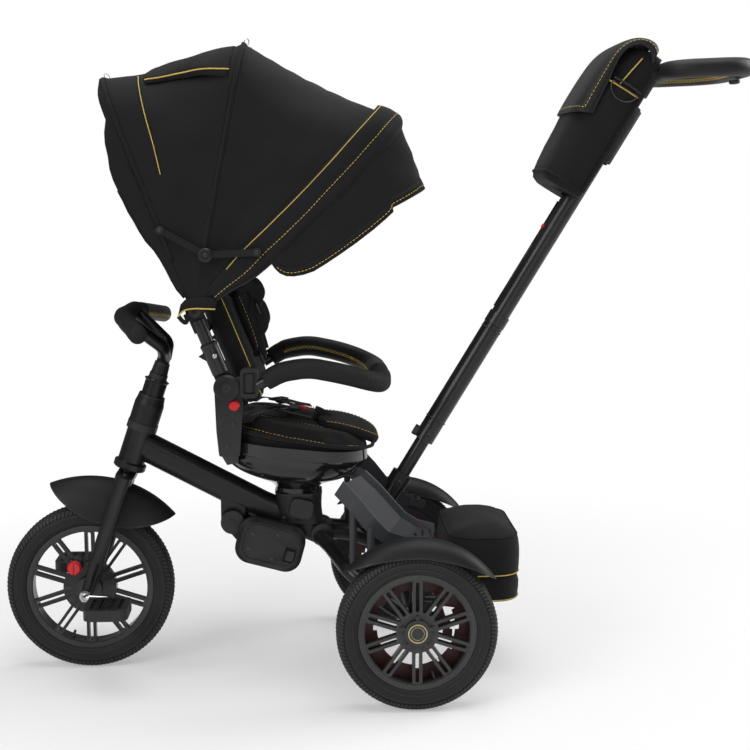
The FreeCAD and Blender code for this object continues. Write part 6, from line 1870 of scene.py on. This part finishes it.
class TRIKE_OT_wheel_trim(bpy.types.Operator):
    """Wheel nuts, rings of the hub caps, valve stems, axle nuts and studs of the pedals"""
    bl_idname = "trike.wheel_trim"
    bl_label = "Wheel trim"

    def execute(self, context):
        for word, side in SIDES:
            face = side * (HALF_TRACK + 20.0)
            out = (0, side, 0)
            nuts = [(wheel_at(REAR_HUB, face - side * 2.0, 90 + 72 * k, 24.5), out) for k in range(5)]
            nut = fasteners("nuts", "hexagon", nuts, 7.4, 3.0, "black_steel")
            tips = [(wheel_at(REAR_HUB, face - side * 0.5, 90 + 72 * k, 24.5), out) for k in range(5)]
            tip = fasteners("nut_tips", "dome", tips, 4.2, 2.2, "black_steel")
            base = mm(REAR_HUB[0], side * (HALF_TRACK + 20.0 + 1.2), REAR_HUB[1])
            cap = lathe("cap", base, out, [(0, 12.9), (0.2, 13.0), (0.75, 12.6), (0.8, 0)], "gloss", 48)
            outer = [(0.0, 15.4), (1.2, 15.3), (1.5, 14.6), (1.2, 13.4), (0.1, 13.3)]
            inner = [(0.0, 10.6), (0.35, 10.4), (0.35, 9.9), (0.0, 9.7)]
            rings = [lathe("cap_ring_a", base, out, outer, "pale_gold", 48),
                     lathe("cap_ring_b", base + Vector(out) * 0.0006, out, inner, "pale_gold", 48)]
            stem = lathe("valve", wheel_at(REAR_HUB, side * (HALF_TRACK + 6), -70, 83.5),
                         (wheel_at(REAR_HUB, 0, -70, 70) - wheel_at(REAR_HUB, 0, -70, 84)),
                         VALVE, "soft_rubber", 16)
            trim = merged("rear_wheel_trim_" + word, [nut, tip, cap, stem] + rings)
            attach(trim, "rear_wheel_" + word)
        stem = lathe("front_valve", wheel_at(FRONT_HUB, -8, -110, 97.5),
                     (wheel_at(FRONT_HUB, 0, -110, 80) - wheel_at(FRONT_HUB, 0, -110, 98)),
                     VALVE, "soft_rubber", 16)
        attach(stem, "front_wheel")
        nuts = both_sides((FRONT_HUB[0], 72.6, FRONT_HUB[1]))
        washers = [lathe("axle_washer", p - Vector(o) * 0.0012, o,
                         [(0, 6.3), (0, 9.5), (1.4, 9.5), (1.4, 6.3)], "zinc", 32) for p, o in nuts]
        hexes = []
        for p, o in nuts:
            outline = [p + Vector((0.0092 * math.cos(math.pi * k / 3), 0,
                                   0.0092 * math.sin(math.pi * k / 3))) for k in range(6)]
            hexes.append(plate("axle_nut", outline, o, 0.0052, "zinc", 0.0006))
        nut = merged("front_axle_nuts", washers + hexes)
        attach(nut, "steering")
        for word, side, x, z in (("left", -1, -436.0, 138.0), ("right", 1, -528.0, 144.0)):
            dots, studs = [], []
            for i in range(6):
                px = x - 30 + 12 * i
                dots.append((mm(px, side * 173.9, z + (3.5 if i % 2 else -3.5)), (0, side, 0)))
                for y in (108, 122, 136, 150, 164):
                    for up in (-1, 1):
                        studs.append((mm(px, side * y, z + up * 9.0), (0, 0, up)))
            dot = fasteners("pedal_dots_" + word, "dome", dots, 3.4, 1.2, "black_steel")
            stud = fasteners("pedal_studs_" + word, "disc", studs, 3.4, 1.6, "plastic")
            trim = merged("pedal_trim_" + word, [dot, stud])
            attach(trim, "pedal_l" if side < 0 else "pedal_r")
        return {"FINISHED"}


# ---------------------------------------------------------------- hard trim
class TRIKE_OT_fasteners(bpy.types.Operator):
    """Screws, rivets and small moulded details of the frame, joints and canopy"""
    bl_idname = "trike.fasteners"
    bl_label = "Fasteners"

    def execute(self, context):
        rear, front = fan_at(111, 136), fan_at(43, 136)
        spots = both_sides((rear.x * 1000, LINK_Y + 5.9, rear.z * 1000))
        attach(fasteners("rear_link_rivets", "dome", spots, 7.0, 3.0, "black_steel"), "links_rear")
        spots = both_sides((front.x * 1000, LINK_Y + 9.3, front.z * 1000),
                           (-265.45, LINK_Y + 11.2, 713.02))
        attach(fasteners("front_link_rivets", "dome", spots, 7.0, 3.0, "black_steel"), "links_front")
        spots = [(back_at(54, 3, side * 157.4), (0, side, 0)) for side in (-1, 1)]
        rivet = fasteners("back_tube_rivets", "dome", spots, 8.0, 3.0, "zinc")
        collar = [(0, 13.6), (1.0, 14.2), (4.0, 14.2), (5, 13.4), (7, 10.7)]
        rings = [lathe("tube_collar", back_at(70, 0, side * 144), back_ways()[0], collar, "satin", 32)
                 for side in (-1, 1)]
        trim = merged("back_tube_trim", [rivet] + rings)
        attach(trim, "backrest")
        spots = both_sides((-238, 136.6, 404), (-228, 136.6, 440))
        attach(fasteners("seat_bracket_screws", "dome", spots, 8.0, 2.6, "black_steel"), "seat")
        lean = math.radians(15)
        u, v = Vector((math.cos(lean), 0, -math.sin(lean))), Vector((math.sin(lean), 0, math.cos(lean)))
        for word, side in SIDES:
            place = mm(-174, side * 58.2, 220)
            holes = [(place + u * du * 0.001 + v * dv * 0.001, (0, side, 0))
                     for du, dv in ((-34, 12), (-34, -14), (8, 20), (8, -22))]
            screw = fasteners("pad_screws_" + word, "disc", holes, 4.5, 1.2, "black_steel")
            rim = rounded_outline(place, u, v, 47, 30, 20, 6)
            rim = ring_cord("pad_rim_" + word, rim, 0.0016, "plastic")
            whole = merged("foot_pad_trim_" + word, [screw, rim])
            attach(whole, "foot_pad_" + word)
        # Gloss black discs on the tray stand in for its holes: painted shade of the holes.
        rows = [(mm(52 + 13 * i, side * (100 + 11 * j), 252.5 + 0.6 * i), UP)
                for side in (-1, 1) for i in range(4) for j in range(5)]
        holes = fasteners("tray_hole_shade_discs", "disc", rows, 5.0, 1.4, "gloss")
        cap = fasteners("frame_bolts", "dome", both_sides((-86, 36.3, 231.5)), 14.0, 4.0, "black_steel")
        axle = fasteners("post_screws", "dome", both_sides((-150, 34.5, 262)), 6.0, 2.4, "black_steel")
        trim = merged("frame_trim", [holes, cap, axle])
        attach(trim, "frame")
        axis = (steer_at(1) - steer_at(0)).normalized()
        spots = [(steer_at(205, 0, side * 40) + axis * 0.0045, axis) for side in (-1, 1)]
        screw = fasteners("crown_screws", "hexagon", spots, 9.0, 4.0, "black_steel")
        lip = lathe("collar_lip", steer_at(373), axis,
                    [(0, 13.2), (0, 17.5), (2.2, 17.2), (3.2, 15), (3.2, 13.2)], "satin", 36)
        trim = merged("steering_trim", [screw, lip])
        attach(trim, "steering")
        return {"FINISHED"}


NODE_FINISHES = {
    "paint": "main_frame rear_frame fork push_upper_tube push_lower_tube back_frame armrest_core "
             "footrest_arm handlebar rear_axle",
    "plastic": "seat_post seat_release_lever rear_fenders front_fender pedal_left pedal_right "
               "footrest_pad_left footrest_pad_right headset_cover",
    "satin": "seat_brackets stem_collar harness_buckle rear_links front_links",
    "gloss": "seat_tub",
    "rim": "front_rim rear_rim_left rear_rim_right",
    "red": "clutch_knob recline_button_left recline_button_right buckle_button push_lock_button",
    "black_steel": "head_bearings rear_bow middle_bow front_bow",
    "chrome": "crank",
    "soft_rubber": "stem_boot",
    "leather": "push_handle",
    "grey": "foot_panels",
    "dark_red": "brake_pedal",
}


class TRIKE_OT_node_finishes(bpy.types.Operator):
    """Gives every part kept from the frame its own finish"""
    bl_idname = "trike.node_finishes"
    bl_label = "Part finishes"

    def execute(self, context):
        for finish, names in NODE_FINISHES.items():
            for name in names.split():
                dress(NODES[name], finish)
        for word, _ in SIDES:
            self.by_place("wheel_trim_" + word, ("dark_red", "gloss"), lambda c: abs(c.y) > 0.2445)
        return {"FINISHED"}

    @staticmethod
    def by_place(name, pair, test):
        """Two finishes on one part, told apart by where each face lies."""
        obj = NODES[name]
        obj.data.materials.clear()
        for finish in pair:
            obj.data.materials.append(finish_of(finish))
        for poly in obj.data.polygons:
            poly.material_index = 1 if test(poly.center) else 0


# ---------------------------------------------------------------- studio
class TRIKE_OT_stage(bpy.types.Operator):
    """Pale floor, soft lamps, white surroundings and the camera"""
    bl_idname = "trike.stage"
    bl_label = "Studio"

    def execute(self, context):
        scene = context.scene
        self.floor()
        self.lamp("Top softbox", (0.2, -0.2, 2.9), (0.0, 0.0, 0.4), 2.6, 62.0)
        self.lamp("Key softbox", (-2.3, -2.4, 2.0), (-0.1, 0.0, 0.5), 1.7, 50.0)
        self.lamp("Rim softbox", (2.6, 0.6, 1.8), (0.1, 0.0, 0.5), 1.4, 40.0)
        self.lamp("Front fill", (0.8, -3.2, 0.9), (0.0, 0.0, 0.4), 1.8, 12.0)
        self.surroundings(scene)
        cam = bpy.data.cameras.new("Studio camera")
        cam.lens, cam.sensor_width = 65.83, 36.0
        cam.clip_start, cam.clip_end = 0.05, 60.0
        holder = bpy.data.objects.new("Studio camera", cam)
        holder.location = mm(-113.0, -2308.0, 812.5)
        way = mm(5.1, 0.0, 500.2) - holder.location
        holder.rotation_euler = way.to_track_quat("-Z", "Y").to_euler()
        scene.collection.objects.link(holder)
        scene.camera = holder
        scene.view_settings.view_transform = "Standard"
        return {"FINISHED"}

    @staticmethod
    def lamp(name, place, aim, size, power):
        light = bpy.data.lights.new(name, "AREA")
        light.shape = "SQUARE"
        light.size = size
        light.energy = power
        obj = bpy.data.objects.new(name, light)
        obj.location = place
        obj.rotation_euler = (Vector(aim) - Vector(place)).to_track_quat("-Z", "Y").to_euler()
        bpy.context.scene.collection.objects.link(obj)

    @staticmethod
    def floor():
        """Disc of pale floor that fades into the white surroundings."""
        rows = []
        for r in (0.001, 0.5, 1.0, 1.6, 2.4, 3.6, 6.0, 12.0, 24.0):
            rows.append([Vector((r * math.cos(2 * math.pi * k / 64), r * math.sin(2 * math.pi * k / 64),
                                 -0.0004)) for k in range(64)])
        verts, faces = skin(rows, ring=True)
        mesh = bpy.data.meshes.new("Floor")
        mesh.from_pydata([tuple(v) for v in verts], [], [tuple(reversed(f)) for f in faces])
        floor = bpy.data.objects.new("Floor", mesh)
        bpy.context.scene.collection.objects.link(floor)
        mat = bpy.data.materials.new("Studio floor")
        mat.use_nodes = True
        tree = mat.node_tree
        shader = tree.nodes["Principled BSDF"]
        shader.inputs["Base Color"].default_value = (*colours().floor, 1.0)
        shader.inputs["Roughness"].default_value = 0.75
        shader.inputs["Specular IOR Level"].default_value = 0.15
        white = tree.nodes.new("ShaderNodeEmission")
        white.inputs["Color"].default_value = (1, 1, 1, 1)
        far = tree.nodes.new("ShaderNodeVectorMath")
        far.operation = "LENGTH"
        tree.links.new(object_coords(tree), far.inputs[0])
        fade = tree.nodes.new("ShaderNodeMapRange")
        fade.interpolation_type = "SMOOTHSTEP"
        fade.inputs["From Min"].default_value = 0.45
        fade.inputs["From Max"].default_value = 1.5
        fade.inputs["To Min"].default_value = 0.36
        tree.links.new(far.outputs["Value"], fade.inputs["Value"])
        rays = tree.nodes.new("ShaderNodeLightPath")
        both = math_node(tree, "MULTIPLY", rays.outputs["Is Camera Ray"], fade.outputs["Result"])
        mix = tree.nodes.new("ShaderNodeMixShader")
        tree.links.new(both, mix.inputs[0])
        tree.links.new(shader.outputs[0], mix.inputs[1])
        tree.links.new(white.outputs[0], mix.inputs[2])
        tree.links.new(mix.outputs[0], tree.nodes["Material Output"].inputs["Surface"])
        mesh.materials.append(mat)

    @staticmethod
    def surroundings(scene):
        world = scene.world or bpy.data.worlds.new("Studio")
        scene.world = world
        world.use_nodes = True
        tree = world.node_tree
        back = tree.nodes["Background"]
        back.inputs["Color"].default_value = (0.98, 0.985, 1.0, 1.0)
        back.inputs["Strength"].default_value = 0.13
        white = tree.nodes.new("ShaderNodeBackground")
        white.inputs["Color"].default_value = (1, 1, 1, 1)
        white.inputs["Strength"].default_value = 1.0
        rays = tree.nodes.new("ShaderNodeLightPath")
        mix = tree.nodes.new("ShaderNodeMixShader")
        tree.links.new(rays.outputs["Is Camera Ray"], mix.inputs[0])
        tree.links.new(back.outputs[0], mix.inputs[1])
        tree.links.new(white.outputs[0], mix.inputs[2])
        tree.links.new(mix.outputs[0], tree.nodes["World Output"].inputs["Surface"])


# ---------------------------------------------------------------- registration
OPERATORS = (TRIKE_OT_node_finishes, TRIKE_OT_canopy_roof, TRIKE_OT_canopy_rear, TRIKE_OT_canopy_visor,
             TRIKE_OT_seat_liner, TRIKE_OT_back_liner, TRIKE_OT_harness, TRIKE_OT_armrest,
             TRIKE_OT_grips, TRIKE_OT_pouch, TRIKE_OT_push_handle, TRIKE_OT_storage, TRIKE_OT_tyres,
             TRIKE_OT_wheel_trim, TRIKE_OT_fasteners, TRIKE_OT_stage)


class TRIKE_PT_panel(bpy.types.Panel):
    """Buttons for each group of pieces and the values they use"""
    bl_label = "Tricycle dressing"
    bl_idname = "TRIKE_PT_panel"
    bl_space_type = "VIEW_3D"
    bl_region_type = "UI"
    bl_category = "Tricycle"

    def draw(self, context):
        for operator in OPERATORS:
            self.layout.operator(operator.bl_idname)
        for group in (context.scene.trike_sizes, context.scene.trike_colours):
            box = self.layout.box()
            for key in group.bl_rna.properties.keys():
                if key not in ("rna_type", "name"):
                    box.prop(group, key)


CLASSES = (TRIKE_PG_colours, TRIKE_PG_sizes) + OPERATORS + (TRIKE_PT_panel,)


def register():
    for cls in CLASSES:
        bpy.utils.register_class(cls)
    bpy.types.Scene.trike_colours = PointerProperty(type=TRIKE_PG_colours)
    bpy.types.Scene.trike_sizes = PointerProperty(type=TRIKE_PG_sizes)


def unregister():
    del bpy.types.Scene.trike_sizes
    del bpy.types.Scene.trike_colours
    for cls in reversed(CLASSES):
        bpy.utils.unregister_class(cls)


def main():
    register()
    for operator in OPERATORS:
        group, name = operator.bl_idname.split(".")
        getattr(getattr(bpy.ops, group), name)()


if __name__ == "__main__":
    main()
